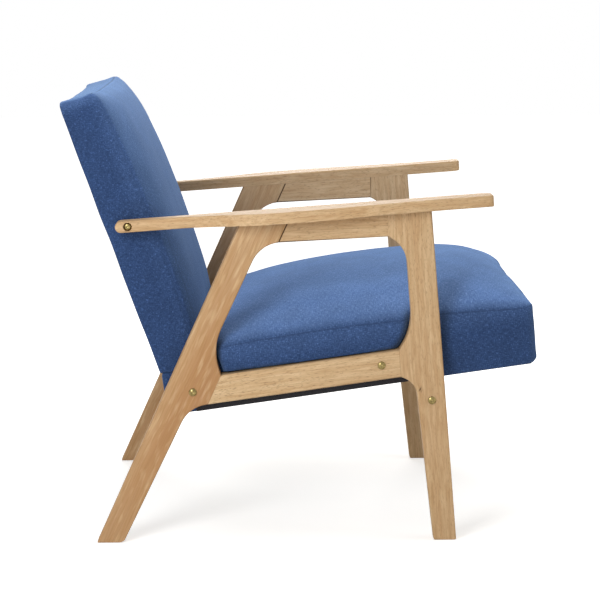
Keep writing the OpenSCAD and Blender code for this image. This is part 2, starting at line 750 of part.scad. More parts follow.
// Back frame, drawn in the side view; its foot follows the seat's ledge
frame_foot = seat_pt(0, ledge_h + soft_gap + cover_t + soft_gap);
back_up = [sin(back_lean), cos(back_lean)];
panel_n = cover_t + soft_gap;
stile_rear = panel_n + panel_t;
stile_top = back_len - cover_t - corner_r / 2;
function back_board(n0, n1, a_top) = [
  meet(back_pt(n0, 0), back_up, frame_foot, rail_along), back_pt(n0, a_top),
  back_pt(n1, a_top), meet(back_pt(n1, 0), back_up, frame_foot, rail_along)
];

module back_stile(side) {
  color(pine) difference() {
    across(side > 0 ? tee_x : -wood_x, side > 0 ? wood_x : -tee_x)
      polygon(back_board(stile_rear, stile_front, stile_top));
    tee_hole(side, arm_bolt_at, tee_x);
    back_screw_set(hole_gap);
  }
}

arm_bolt_a = (arm_bolt_at - back_foot) * back_up;
back_rail_a = [back_rail_w, arm_bolt_a - tee_d / 2 - rail_under_bolt, stile_top];
module back_rail(a_top) {
  across(-tee_x, tee_x) polygon([
    back_pt(stile_rear, a_top - back_rail_w), back_pt(stile_rear, a_top),
    back_pt(stile_rear + back_rail_t, a_top), back_pt(stile_rear + back_rail_t, a_top - back_rail_w)
  ]);
}

module back_middle_rail() {
  color(pine) difference() {
    back_rail(back_rail_a[1]);
    back_screw_set(hole_gap);
  }
}

module back_top_rail() {
  color(pine) difference() {
    back_rail(back_rail_a[2]);
    back_screw_set(hole_gap);
  }
}

module back_bottom_rail() {
  color(pine) difference() {
    across(-tee_x, tee_x) polygon(back_board(stile_rear, stile_rear + back_rail_t, back_rail_w));
    back_screw_set(hole_gap);
    back_bolt_holes();
    back_nut_holes();
  }
}

back_screw_shares = [0.3, 0.7];
module back_screw_set(clear) {
  for (side = [-1, 1], a = back_rail_a, share = back_screw_shares) {
    at = back_pt(stile_rear + back_rail_t / 2, a - back_rail_w * share);
    translate([side * wood_x, at.x, at.y]) mirror([side > 0 ? 0 : 1, 0, 0]) screw(clear);
  }
}

module back_frame_screws() {
  color(zinc) back_screw_set(0);
}

back_strap_count = 5;
module back_webbing() {
  color(strap_black) on_back()
    for (a = spread(back_rail_w / 2, stile_top - back_rail_w / 4, back_strap_count))
      translate([-wood_x, -stile_front - strap_t, a - strap_w / 2]) cube([2 * wood_x, strap_t, strap_w]);
}

module back_panel() {
  color(fibreboard) across(-wood_x, wood_x) polygon(back_board(panel_n, stile_rear, stile_top));
}

// Back form: stations up the back; the foot follows the ledge and the top is square
back_station_shares =
  [0, 0.03, 0.06, 0.1, 0.118, 0.16, 0.24, 0.36, 0.5, 0.63, 0.75, 0.85, 0.92, 0.965, 0.99, 1];
edge_crown_share = 0.37;
back_waist = 12;        // how much thinner the side is at the top than half way up
back_mid_share = 0.47;
shoulder_share = 0.96;
contact_share = 0.11;
foot_slope = tan(back_lean - seat_tilt);
function back_seam(share) =
  back_side_t - back_waist * pow((share - back_mid_share) / (1 - back_mid_share), 2);
function back_crown_at(share) =
  back_crown * (edge_crown_share + (1 - edge_crown_share) * (1 - pow(2 * share - 1, 6)));
function back_ring(share, inset, low, lift) =
  let (
    top = back_len - inset,
    round_off = inset > 0 ? 0 : corner_r * pow(max((share - shoulder_share) / (1 - shoulder_share), 0), 2),
    seam = back_seam(share) - inset - round_off / 2,
    touch = share < contact_share ? contact_n - inset - soft_gap : no_limit,
    draw = inset > 0 ? 0 : side_draw * (1 - pow(2 * share - 1, 4)),
    w = half_w - inset - round_off,
    points = ring(w, low + round_off / 2, seam, back_crown_at(share), draw, hem_t, touch)
  )
  [for (p = points) [p.x, -p.y, (lift - foot_slope * p.y) * (1 - share) + top * share]];

module back_form(inset, low, lift) {
  rings = [for (share = back_station_shares) back_ring(share, inset, low, lift)];
  mid = back_side_t / 2;
  loft(rings, [0, -mid, lift - foot_slope * mid], [0, -mid, back_len - inset]);
}

module back_foam() {
  color(foam_yellow) on_back()
    back_form(cover_t + soft_gap, stile_front + strap_t + soft_gap, cover_t + 2 * soft_gap);
}

module back_cover() {
  color(linen) difference() {
    on_back() difference() {
      back_form(0, 0, 0);
      back_form(cover_t, cover_t, cover_t);
    }
    cover_holes([arm_bolt_at]);
    back_bolt_holes();
  }
}

module arm_bolts() {
  color(brass) for (side = [-1, 1])
    bolt_at(side, arm_bolt_at, in_x + arm_rear_w - arm_bore_h,
      tee_bolt_len - frame_t + arm_rear_w - arm_bore_h);
}

module arm_tee_nuts() {
  color(zinc) for (side = [-1, 1]) tee_nut(side, arm_bolt_at, tee_x);
}

// Long bolts up from the seat's rear rail into the back's bottom rail
module back_bolt_place(side, rise) {
  on_seat() translate([side * back_bolt_x, seat_len - back_bolt_in, rise]) children();
}
back_head_m = rail_foot + back_bolt_bore_h;
back_nut_m = ledge_h + 2 * soft_gap + cover_t + back_nut_rise;
back_bolt_len = back_nut_m + barrel_d / 2 + bolt_past_nut - back_head_m + washer_t;

module back_bolt_holes() {
  for (side = [-1, 1]) {
    back_bolt_place(side, -overrun)
      cylinder(d = bolt_d + 4 * bolt_gap, h = back_nut_m + barrel_d, $fn = 48);
    back_bolt_place(side, -overrun)
      cylinder(d = back_bolt_bore_d, h = back_head_m + overrun, $fn = 48);
  }
}

module back_nut_holes() {
  for (side = [-1, 1]) back_bolt_place(side, back_nut_m)
    translate([0, barrel_h / 2 + end_gap, 0]) rotate([90, 0, 0])
      cylinder(d = barrel_d + 2 * hole_gap, h = stile_front, $fn = 48);
}

module back_bolts() {
  color(zinc) for (side = [-1, 1]) back_bolt_place(side, back_head_m - washer_t)
    rotate([0, 90, 0]) domed_bolt(back_bolt_len);
}

module back_bolt_washers() {
  color(zinc) for (side = [-1, 1]) back_bolt_place(side, back_head_m - washer_t) difference() {
    cylinder(d = washer_d, h = washer_t, $fn = 48);
    translate([0, 0, -overrun]) cylinder(d = bolt_d + 2 * bolt_gap, h = washer_t + 2 * overrun, $fn = 48);
  }
}

module back_barrel_nuts() {
  color(zinc) for (side = [-1, 1]) back_bolt_place(side, back_nut_m) difference() {
    rotate([90, 0, 0]) cylinder(d = barrel_d, h = barrel_h, center = true, $fn = 48);
    translate([0, 0, -barrel_d]) cylinder(d = bolt_d + 2 * thread_gap, h = 2 * barrel_d, $fn = 48);
  }
}

rear_leg(-1);  // right_rear_leg
front_leg(-1);  // right_front_leg
seat_rail(-1);  // right_seat_rail
arm_rail(-1);  // right_arm_rail
armrest(-1);  // right_armrest
rear_leg(1);  // left_rear_leg
front_leg(1);  // left_front_leg
seat_rail(1);  // left_seat_rail
arm_rail(1);  // left_arm_rail
armrest(1);  // left_armrest
frame_dowels();
arm_dowels();
front_stretcher();
stretcher_bolts();
stretcher_barrel_nuts();
stretcher_dowels();
seat_front_rail();
seat_rear_rail();
seat_side_rail(-1);  // seat_right_rail
seat_side_rail(1);  // seat_left_rail
seat_corner_blocks();
seat_frame_screws();
seat_long_webbing();
seat_cross_webbing();
seat_foam();
seat_cover();
dust_cover();
seat_bolts();
seat_tee_nuts();
back_stile(-1);  // back_right_stile
back_stile(1);  // back_left_stile
back_top_rail();
back_middle_rail();
back_bottom_rail();
back_frame_screws();
back_webbing();
back_panel();
back_foam();
back_cover();
arm_bolts();
arm_tee_nuts();
back_bolts();
back_bolt_washers();
back_barrel_nuts();
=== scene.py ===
"""Looks of a wooden-framed lounge chair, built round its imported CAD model. Lengths are in metres."""

import math
from contextlib import contextmanager

import bmesh
import bpy
import numpy as np
from mathutils import Matrix, Vector
from mathutils.bvhtree import BVHTree
from mathutils.kdtree import KDTree


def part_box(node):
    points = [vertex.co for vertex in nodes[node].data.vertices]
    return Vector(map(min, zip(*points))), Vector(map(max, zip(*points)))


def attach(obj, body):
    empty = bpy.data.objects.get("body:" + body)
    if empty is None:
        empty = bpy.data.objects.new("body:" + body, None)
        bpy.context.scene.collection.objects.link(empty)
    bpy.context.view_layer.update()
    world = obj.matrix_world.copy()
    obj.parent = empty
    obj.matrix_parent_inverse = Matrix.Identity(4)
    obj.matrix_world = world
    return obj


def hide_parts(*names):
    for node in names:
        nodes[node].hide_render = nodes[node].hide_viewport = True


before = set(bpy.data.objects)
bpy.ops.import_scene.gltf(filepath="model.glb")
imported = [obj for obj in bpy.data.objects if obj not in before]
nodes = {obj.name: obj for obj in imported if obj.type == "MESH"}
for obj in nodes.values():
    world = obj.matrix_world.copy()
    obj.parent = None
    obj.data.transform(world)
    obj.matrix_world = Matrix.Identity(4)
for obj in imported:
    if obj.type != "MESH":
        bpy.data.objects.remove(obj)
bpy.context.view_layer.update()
mm = 0.001

# The camera stands where the photograph was taken from; angles are in degrees
CAMERA_AT = (-3.3847, 0.0521, 0.9170)
CAMERA_YAW, CAMERA_PITCH, CAMERA_ROLL = 0.907, 9.519, -0.250
CAMERA_LENS, CAMERA_FILM = 118.59, 36.0

# Places shared with the part's source, in millimetres and degrees
SEAT_START, SEAT_TILT, SEAT_LEN, SEAT_SIDE = (-378.0, 286.5), 7.8, 601.0, 98.0
BACK_TILT, BACK_LEN, BACK_SIDE, BACK_CROWN = 19.5, 458.0, 73.0, 35.0
HALF_W, SIDE_DRAW, CORNER_R = 258.0, 4.0, 12.0      # both covers: half width, waist and corners
WALL, HEM, HEM_W, SOFT_GAP = 5.7, 1.5, 24.0, 0.3    # cover with wadding, its hem, and the gap to the foam
LEDGE_H, CONTACT_N = 69.5, 98.0                     # the ledge under the back, and where the back meets the seat
BOARD_X, BOARD_HALF = 272.0, 13.0                   # middle plane of a side frame, and half its boards' thickness
BACK_BOLT = (138.0, SEAT_LEN - 21.0)
# The source's seat has a crown of 78.5; stuffing and seams add the rest here
SEAT_CROWN = 76.4


# Small tools

def tint(code):
    """A hex colour as it is written, turned linear."""
    parts = [int(code[k:k + 2], 16) / 255 for k in (1, 3, 5)]
    return tuple(c / 12.92 if c <= 0.04045 else ((c + 0.055) / 1.055) ** 2.4 for c in parts) + (1.0,)


def grey(level):
    return (level, level, level, 1.0)


def wire(tree, node, sockets):
    """Gives each input of a node a value, or links it to the output it is given."""
    for name, value in sockets.items():
        if isinstance(value, bpy.types.NodeSocket):
            tree.links.new(value, node.inputs[name])
        else:
            node.inputs[name].default_value = value


def put(tree, kind, sockets=None, **settings):
    """Adds a node with its settings and inputs."""
    made = tree.nodes.new(kind)
    for name, value in settings.items():
        setattr(made, name, value)
    wire(tree, made, sockets or {})
    return made


def noise(tree, place, scale, detail, roughness=0.5, shift=(0, 0, 0), **settings):
    """Noise with its own scale along each axis of a place."""
    spread = put(tree, "ShaderNodeMapping", {"Vector": place, "Location": shift, "Scale": scale})
    return put(tree, "ShaderNodeTexNoise", {
        "Vector": spread.outputs[0], "Scale": 1.0, "Detail": detail, "Roughness": roughness}, **settings)


def ramp(tree, value, *stops):
    """Colours that follow a value, from (place, colour) stops."""
    made = put(tree, "ShaderNodeValToRGB", {0: value})
    elements = made.color_ramp.elements
    while len(elements) < len(stops):
        elements.new(0.5)
    for element, (place, colour) in zip(elements, stops):
        element.position, element.color = place, colour
    return made.outputs[0]


def mix(tree, share, first, second):
    return put(tree, "ShaderNodeMix", {0: share, 6: first, 7: second}, data_type="RGBA").outputs[2]


def spread_over(tree, value, low, high, first, last, **settings):
    """A value's run from low to high, stretched to run from first to last."""
    return put(tree, "ShaderNodeMapRange", {0: value, 1: low, 2: high, 3: first, 4: last}, **settings).outputs[0]


def maths(tree, how, *values, **settings):
    return put(tree, "ShaderNodeMath", dict(enumerate(values)), operation=how, **settings).outputs[0]


def vectors(tree, how, *values):
    made = put(tree, "ShaderNodeVectorMath", dict(enumerate(values)), operation=how)
    return made.outputs["Value" if how == "LENGTH" else 0]


def on_points(tree, name, output="Fac"):
    """What a mesh has written on its points under a name."""
    return put(tree, "ShaderNodeAttribute", attribute_name=name).outputs[output]


def bumps(tree, height, strength, distance, **settings):
    return put(tree, "ShaderNodeBump", {"Height": height, "Strength": strength, "Distance": distance},
               **settings).outputs[0]


def blank_tree(data):
    """The emptied node tree of a material or world."""
    data.use_nodes = True
    data.node_tree.nodes.clear()
    return data.node_tree


def finish_of(name):
    """A new material, its tree and its bare shader, wired to the output."""
    made = bpy.data.materials.new(name)
    tree = blank_tree(made)
    shader = put(tree, "ShaderNodeBsdfPrincipled")
    put(tree, "ShaderNodeOutputMaterial", {"Surface": shader.outputs["BSDF"]})
    return made, tree, shader


def add_object(name, data):
    obj = bpy.data.objects.new(name, data)
    bpy.context.scene.collection.objects.link(obj)
    return obj


def claim(obj, node):
    """Puts a piece on the chair's root body and hides the CAD node that it stands for."""
    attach(obj, "root")
    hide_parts(node)


def dress(obj, node, slot):
    """Gives a piece its slot's finish, and claims its CAD node."""
    obj.data.materials.clear()
    obj.data.materials.append(FINISHES[slot])
    claim(obj, node)


def settle(obj):
    """Turns an object's modifiers into plain mesh."""
    bpy.context.view_layer.update()
    graph = bpy.context.evaluated_depsgraph_get()
    mesh = bpy.data.meshes.new_from_object(obj.evaluated_get(graph))
    obj.modifiers.clear()
    old = obj.data
    obj.data = mesh
    bpy.data.meshes.remove(old)
    mesh.name = obj.name
    return obj


@contextmanager
def editing(mesh):
    """A mesh opened for editing and written back at the end."""
    work = bmesh.new()
    work.from_mesh(mesh)
    yield work
    work.to_mesh(mesh)
    work.free()


def smooth(mesh, angle):
    """Smooth shading that stays crisp at edges sharper than the angle."""
    with editing(mesh) as work:
        for face in work.faces:
            face.smooth = True
        for edge in work.edges:
            edge.smooth = not (edge.is_manifold and edge.calc_face_angle(0) > math.radians(angle))


def read(data, field, width, kind=float):
    """One field of all points or edges, as rows."""
    flat = np.empty(len(data) * width, dtype=kind)
    data.foreach_get(field, flat)
    return flat.reshape(-1, width)


def write(mesh, name, values, kind="FLOAT"):
    """Writes values, or vectors, on a mesh's points under a name."""
    layer = mesh.attributes.new(name, kind, "POINT")
    layer.data.foreach_set("value" if kind == "FLOAT" else "vector", np.asarray(values, dtype=np.float32).ravel())


def points_of(mesh):
    return read(mesh.vertices, "co", 3)


def set_points(mesh, points):
    mesh.vertices.foreach_set("co", points.ravel())
    mesh.update()


def nearest(places, lines):
    """Distance from each place to the nearest point of some lines, and that point's number."""
    targets = np.concatenate(lines)
    tree = KDTree(len(targets))
    for k, target in enumerate(targets):
        tree.insert(target, k)
    tree.balance()
    found = [tree.find(place) for place in places]
    return np.array([f[2] for f in found]), [f[1] for f in found]


def board_tree(name):
    """A CAD node's surface, for finding what is near it."""
    data = nodes[name].data
    return BVHTree.FromPolygons([v.co for v in data.vertices], [tuple(p.vertices) for p in data.polygons])


def near(tree, place, reach):
    return tree.find_nearest(place, reach)[0] is not None


def ease(t):
    u = np.clip(t, 0, 1)
    return u * u * (3 - 2 * u)


def ripple(p, size, seed):
    """Smooth noise from about -1 to 1 over points, with lumps of about the given size."""
    rng = np.random.default_rng(seed)
    total = np.zeros(len(p))
    for _ in range(9):
        way = rng.normal(size=p.shape[1])
        way /= np.linalg.norm(way)
        total += np.sin(p @ way * (2 * math.pi / size) * rng.uniform(0.6, 1.5) + rng.uniform(0, 6.3))
    return total / 3.6


# The tilted frames of seat and back: (x, along, up) of the seat, and (x, thickness, height) of the back, in mm

def to_room(points, start, first, second):
    p = np.asarray(points)
    y = start[0] + p[..., 1] * first[0] + p[..., 2] * second[0]
    z = start[1] + p[..., 1] * first[1] + p[..., 2] * second[1]
    return np.stack([p[..., 0], y, z], axis=-1) * mm


def from_room(points, start, first, second):
    """The last two coordinates of room points in a tilted frame."""
    y, z = points[:, 1] / mm - start[0], points[:, 2] / mm - start[1]
    return y * first[0] + z * first[1], y * second[0] + z * second[1]


SEAT_T, BACK_T = math.radians(SEAT_TILT), math.radians(BACK_TILT)
SEAT_ALONG, SEAT_UP = (math.cos(SEAT_T), -math.sin(SEAT_T)), (math.sin(SEAT_T), math.cos(SEAT_T))
BACK_FRONT, BACK_UP = (-math.cos(BACK_T), math.sin(BACK_T)), (math.sin(BACK_T), math.cos(BACK_T))
BACK_FOOT = [SEAT_START[k] + (SEAT_LEN + 2) * SEAT_ALONG[k] + (LEDGE_H + SOFT_GAP) * SEAT_UP[k] for k in (0, 1)]
SEAT_FRAME, BACK_FRAME = (SEAT_START, SEAT_ALONG, SEAT_UP), (BACK_FOOT, BACK_FRONT, BACK_UP)
CONTACT_SLOPE = math.tan(BACK_T - SEAT_T)


def contact_foot():
    """How far along the seat its underside meets the plane where seat and back touch."""
    d = [BACK_FOOT[k] + CONTACT_N * BACK_FRONT[k] - SEAT_START[k] for k in (0, 1)]
    along = d[0] * SEAT_ALONG[0] + d[1] * SEAT_ALONG[1]
    up = d[0] * SEAT_UP[0] + d[1] * SEAT_UP[1]
    return along - up * CONTACT_SLOPE


CONTACT_S = contact_foot()


def seat_room(points):
    return to_room(points, *SEAT_FRAME)


def back_room(points):
    return to_room(points, *BACK_FRAME)


# Materials

KNOT_AT = (-0.285, -0.1897, 0.2502)
KNOT_STRETCH = (60.0, 150.0, 90.0)


def oiled_wood():
    """Oiled rubberwood boards: honey-coloured, with long soft bands, short dark pores and a low gloss."""
    made, t, shader = finish_of("oiled_rubberwood")
    grain, tone = on_points(t, "grain", "Vector"), on_points(t, "tone")
    # Grain runs along the third axis. Bands are 9 mm wide, flecks 6 mm, streaks 2.3 mm and pores 1.3 mm
    waver = noise(t, grain, (14, 14, 5), 1.0).outputs["Color"]
    bent = vectors(t, "ADD", grain, vectors(t, "MULTIPLY", waver, (0.012, 0.012, 0.0)))
    bands = noise(t, bent, (110, 110, 3.2), 3.0, 0.55).outputs[0]
    flecks = noise(t, bent, (160, 160, 24), 2.0).outputs[0]
    streaks = noise(t, bent, (440, 440, 24), 2.0).outputs[0]
    pores = noise(t, bent, (800, 800, 150), 1.5).outputs[0]
    wood = mix(t, tone, tint("#D9BF98"), tint("#AA7F57"))
    for pattern, start, end, most, colour in (
            (bands, 0.36, 0.68, 0.5, "#B48A5C"), (streaks, 0.42, 0.72, 0.46, "#9E7748"),
            (flecks, 0.52, 0.78, 0.42, "#E3C9A2")):
        wood = mix(t, ramp(t, pattern, (start, grey(0)), (end, grey(most))), wood, tint(colour))
    # The pink-brown boards have closed pores
    pits = ramp(t, pores, (0.565, grey(0)), (0.72, grey(0.78)))
    closed = maths(t, "MULTIPLY_ADD", tone, -1.5, 1.0, use_clamp=True)
    wood = mix(t, maths(t, "MULTIPLY", pits, closed), wood, tint("#7A5A35"))
    # One small knot on the right front leg, as in the photograph
    place = put(t, "ShaderNodeTexCoord").outputs["Object"]
    off = vectors(t, "MULTIPLY", vectors(t, "SUBTRACT", place, KNOT_AT), KNOT_STRETCH)
    rough = put(t, "ShaderNodeTexNoise", {"Vector": off, "Scale": 2.4, "Detail": 2.0}).outputs[0]
    away = maths(t, "ADD", vectors(t, "LENGTH", off), rough)
    knot = ramp(t, away, (0.55, grey(0.9)), (0.8, grey(0.25)), (1.0, grey(0)))
    wood = mix(t, knot, wood, tint("#452C16"))
    # The joints are coloured darker, most where arm rail and rear leg meet
    wood = mix(t, on_points(t, "gap"), wood, tint("#2E1D0E"))
    wire(t, shader, {"Base Color": wood, "Roughness": spread_over(t, streaks, 0.0, 1.0, 0.50, 0.66),
                     "Normal": bumps(t, pores, 0.35, 0.00025, invert=True), "IOR": 1.46, "Specular IOR Level": 0.3})
    return made


# Tones of the heather, and lighter copies of them painted as light on the covers' faces that look up and forward
HEATHER = ((0.0, "#15274A"), (0.38, "#233A61"), (0.62, "#2D446F"), (1.0, "#4B6AA4"))
HEATHER_LIT = ((0.0, "#4B69A4"), (0.38, "#5C7DB7"), (0.62, "#698BC5"), (1.0, "#8FB1E8"))


def linen():
    """Woven linen-look polyester: blue heather, light and dark slubs both ways, a pale nap at a glance, and a lighter
    copy of the heather as painted light on faces that look up and forward.
    """
    made, t, shader = finish_of("woven_blue_linen")
    uv = put(t, "ShaderNodeUVMap", uv_map="cloth").outputs["UV"]
    # Slubs are 1.2 mm wide and 7 mm long, coarser than the real 0.8 mm thread, so that they show
    weft = noise(t, uv, (150, 900, 1), 2.5, 0.6, noise_dimensions="2D").outputs[0]
    warp = noise(t, uv, (900, 175, 1), 2.5, 0.6, (31, 7, 0), noise_dimensions="2D").outputs[0]
    nap = noise(t, uv, (24, 24, 1), 2.0, noise_dimensions="2D").outputs[0]
    both = maths(t, "ADD", weft, warp)
    slubs = spread_over(t, both, 0.55, 1.45, 0.0, 1.0)
    dark, pale = (ramp(t, slubs, *((place, tint(code)) for place, code in stops))
                  for stops in (HEATHER, HEATHER_LIT))
    # Painted light: the lighter heather is mixed in wherever the covers' points ask for it
    heather_with_painted_light = mix(t, on_points(t, "rubbed"), dark, pale)
    toned = vectors(t, "MULTIPLY", heather_with_painted_light, spread_over(t, nap, 0.3, 0.7, 0.93, 1.07))
    # Painted shade along the seams and the rows of stitches
    sewn = mix(t, on_points(t, "seam"), toned, tint("#1B2A48"))
    wire(t, shader, {
        "Base Color": sewn, "Normal": bumps(t, maths(t, "MULTIPLY", both, 0.5), 0.4, 0.0006), "Roughness": 0.92,
        "Sheen Weight": 0.38, "Sheen Roughness": 0.5, "Sheen Tint": tint("#96C2F8"), "Specular IOR Level": 0.25})
    return made


def plain_finish(name, dark, light, rough, size, **constants):
    """A finish that wanders between two tones over patches of the given size (x, y, z) in metres."""
    made, t, shader = finish_of(name)
    place = put(t, "ShaderNodeTexCoord").outputs["Object"]
    patch = noise(t, place, tuple(1 / s for s in size), 3.0).outputs[0]
    wire(t, shader, {
        "Base Color": ramp(t, patch, (0.34, tint(dark)), (0.66, tint(light))),
        "Roughness": spread_over(t, patch, 0.0, 1.0, *rough), "Normal": bumps(t, patch, 0.3, 0.0004),
        **{socket.replace("_", " "): value for socket, value in constants.items()}})
    return made


# One finish for each material slot
FINISHES = {
    "oiled_wood": oiled_wood(),
    "linen": linen(),
    # Plated steel with a warm, brassy tone, polished by tumbling: a soft highlight in the middle of each head
    "bolt": plain_finish("nickel_plated_steel", "#75673F", "#958558", (0.24, 0.34), (0.004, 0.004, 0.004),
                         Metallic=1.0),
    # Zinc-plated steel: cool, faintly clouded
    "zinc": plain_finish("zinc_plated_steel", "#A9ADB2", "#C6CACE", (0.32, 0.48), (0.006, 0.006, 0.006),
                         Metallic=1.0),
    # Planed pine: pale straw, with softer and harder year rings
    "timber": plain_finish("planed_pine", "#D2B283", "#E9D3A8", (0.6, 0.72), (0.05, 0.006, 0.006)),
    # Turned beech: pinkish straw, short fibres along the dowel
    "dowel": plain_finish("turned_beech_dowel", "#C9A276", "#DDBB90", (0.55, 0.65), (0.003, 0.003, 0.02)),
    # Cut polyurethane foam: cream, open pored, dead matt
    "foam": plain_finish("cut_polyurethane_foam", "#E2D6A8", "#F1E8C6", (0.93, 0.99), (0.002, 0.002, 0.002),
                         Specular_IOR_Level=0.2),
    # Elastic webbing: black woven rubber thread
    "webbing": plain_finish("elastic_webbing", "#17181A", "#2C2D30", (0.78, 0.9), (0.0015, 0.006, 0.006)),
    # Hardboard: brown pressed fibres
    "fibreboard": plain_finish("pressed_fibreboard", "#7A5A3C", "#96724E", (0.62, 0.78), (0.004, 0.004, 0.004)),
    # Spun-bonded dust cloth: black with a felted look
    "dust_cloth": plain_finish("spunbonded_dust_cloth", "#17171C", "#26262E", (0.85, 0.95), (0.003, 0.003, 0.003),
                               Sheen_Weight=0.2),
}


# Wooden side frames, armrests and stretcher

ROUNDING = 2.4 * mm       # sanded edges
JOINT_EASE = 0.28 * mm    # eased edges at a glued joint, which leave a fine line
OPEN_JOINT = 1.4 * mm     # half the width of the open line between arm rail and rear leg
OPEN_DEEP = 1.0 * mm      # and how deep it is
OPEN_REACH = 0.35 * mm    # a point this near to the mate is in that joint
GLUE_REACH = 0.1 * mm     # a point this near to any other board is in a closed joint
ARM_Z = 0.42              # the joints of the arm rails lie above this height
HOLE_EDGE = 1.3 * mm      # a round hole's rim has shorter sides than this
TOUCH = 0.3 * mm          # boards that are nearer than this touch
FACE_X = BOARD_HALF * mm - 0.5 * mm
# Grain angle in the side view from +Y towards +Z, and how pink-brown each board is from end to end
BOARDS = {
    "rear_leg": (115.0, (0.72, 1.15, 0.42)), "front_leg": (85.4, (0.42, 0.46, 0.26)),
    "seat_rail": (172.2, (0.12, 0.26)), "arm_rail": (177.0, (0.34, 0.26)), "armrest": (176.08, (0.34, 0.26)),
}
STRETCHER = (None, (0.3, 0.4))
OPEN_MATES = {"rear_leg": ("arm_rail", 1), "arm_rail": ("rear_leg", -1)}
WOODEN = [f"{side}_{board}" for side in ("right", "left") for board in BOARDS] + ["front_stretcher"]


def bevel(work, edges, offset, segments, clamped):
    bmesh.ops.bevel(work, geom=edges, offset=offset, offset_type="OFFSET", segments=segments, profile=0.5,
                    affect="EDGES", clamp_overlap=clamped)


def sharp_edges(work, angle, shortest):
    return [e for e in work.edges if e.is_manifold and e.calc_face_angle(0) > math.radians(angle)
            and e.calc_length() > shortest]


def rounded_board(name, turn, tones, number):
    """A copy of a CAD board with sanded edges, and its grain, tone and joints written on its points."""
    side, kind = name.split("_", 1)
    work = bmesh.new()
    work.from_mesh(nodes[name].data)
    bmesh.ops.remove_doubles(work, verts=work.verts, dist=1e-5)
    bmesh.ops.dissolve_limit(work, angle_limit=math.radians(0.6), verts=work.verts, edges=work.edges)
    touching = [board_tree(other) for other in WOODEN
                if other != name and (other.startswith(side) or name == "front_stretcher")]
    glued = {face for face in work.faces
             if any(near(tree, face.calc_center_median(), TOUCH) for tree in touching)}
    outer = [e for e in sharp_edges(work, 32, HOLE_EDGE) if not glued.intersection(e.link_faces)]
    bevel(work, outer, ROUNDING, 3, False)
    bevel(work, sharp_edges(work, 60, HOLE_EDGE * 2), JOINT_EASE, 1, True)
    mate = None
    if kind in OPEN_MATES:
        other, way = OPEN_MATES[kind]
        mate = board_tree(f"{side}_{other}")
        open_joint(work, side, mate, way)
    bmesh.ops.triangulate(work, faces=[f for f in work.faces if len(f.verts) > 4])
    mesh = bpy.data.meshes.new("board")
    work.to_mesh(mesh)
    work.free()
    smooth(mesh, 34)
    piece = add_object(f"{name}_board", mesh)
    piece.modifiers.new("flat_faces", "WEIGHTED_NORMAL").keep_sharp = True
    settle(piece)
    grain_on(piece.data, turn, tones, number)
    gap_on(piece.data, touching, mate)
    dress(piece, name, "oiled_wood")


def in_open_joint(place, mate):
    return place.z > ARM_Z and near(mate, place, OPEN_REACH)


def open_joint(work, side, mate, way):
    """Cuts one half of the narrow groove where arm rail and rear leg stand a little open."""
    leg = board_tree(f"{side}_rear_leg")
    end = min(nodes[f"{side}_arm_rail"].data.polygons, key=lambda f: leg.find_nearest(f.center)[3])
    flat = [f for f in work.faces if abs(f.normal.x) > 0.99]
    edges, verts = {e for f in flat for e in f.edges}, {v for f in flat for v in f.verts}
    bmesh.ops.bisect_plane(work, geom=[*verts, *edges, *flat], dist=1e-6, plane_no=end.normal,
                           plane_co=Vector(end.center) + Vector(end.normal) * way * OPEN_JOINT)
    for v in work.verts:
        outward = abs(v.co.x) - BOARD_X * mm
        if abs(outward) > FACE_X and in_open_joint(v.co, mate):
            v.co.x -= math.copysign(OPEN_DEEP, outward * v.co.x)


def gap_on(mesh, touching, mate):
    """Marks the points that lie in a joint, which are coloured darker: most where arm rail and rear leg meet."""
    gap = np.zeros(len(mesh.vertices))
    for k, vertex in enumerate(mesh.vertices):
        if mate and in_open_joint(vertex.co, mate):
            gap[k] = 1.0
        elif any(near(tree, vertex.co, GLUE_REACH) for tree in touching):
            gap[k] = 0.3
    write(mesh, "gap", gap)


def grain_on(mesh, turn, tones, number):
    """Writes the grain coordinates (across, through, along) and the tone on a board's points."""
    p = points_of(mesh)
    along, across, through = p.T
    if turn is not None:
        a = math.radians(turn)
        along = p[:, 1] * math.cos(a) + p[:, 2] * math.sin(a)
        across = -p[:, 1] * math.sin(a) + p[:, 2] * math.cos(a)
        through = p[:, 0]
    shift = np.random.default_rng(40 + number).uniform(0, 3, 3)
    write(mesh, "grain", np.stack([across, through, along], axis=1) + shift, "FLOAT_VECTOR")
    share = (along - along.min()) / (along.max() - along.min())
    write(mesh, "tone", np.interp(share, np.linspace(0, 1, len(tones)), tones))


for count, wooden in enumerate(WOODEN):
    rounded_board(wooden, *BOARDS.get(wooden.split("_", 1)[1], STRETCHER), count)


# Upholstery

FINE, COARSE = 2.4, 7.5    # gaps between the points of a cover, near its seams and away from them
INNER = 2.2                # the hidden inner sides are this much coarser


def steps(length, fine_start, fine_end, small=FINE, large=COARSE, growth=1.28):
    """Shares from 0 to 1 whose gaps are small near the chosen ends and grow to large."""
    gaps, gap = [], small
    while gap < large:
        gaps.append(gap)
        gap *= growth
    first, last = (gaps if fine_start else []), (gaps[::-1] if fine_end else [])
    rest = length - sum(first) - sum(last)
    count = max(1, round(rest / large))
    places = np.concatenate([[0], np.cumsum(first + [rest / count] * count + last)])
    return places / places[-1]


def cloth_place(grid):
    """Place of each grid point on its flat panel, in metres, from lengths along its rows and columns."""
    u = np.cumsum(np.linalg.norm(np.diff(grid, axis=1, prepend=grid[:, :1]), axis=2), axis=1)
    v = np.cumsum(np.linalg.norm(np.diff(grid, axis=0, prepend=grid[:1]), axis=2), axis=0)
    middle = grid.shape[1] // 2
    return np.stack([u - u[:, middle][:, None], v[:, middle][:, None] + 0 * v], axis=-1) * mm


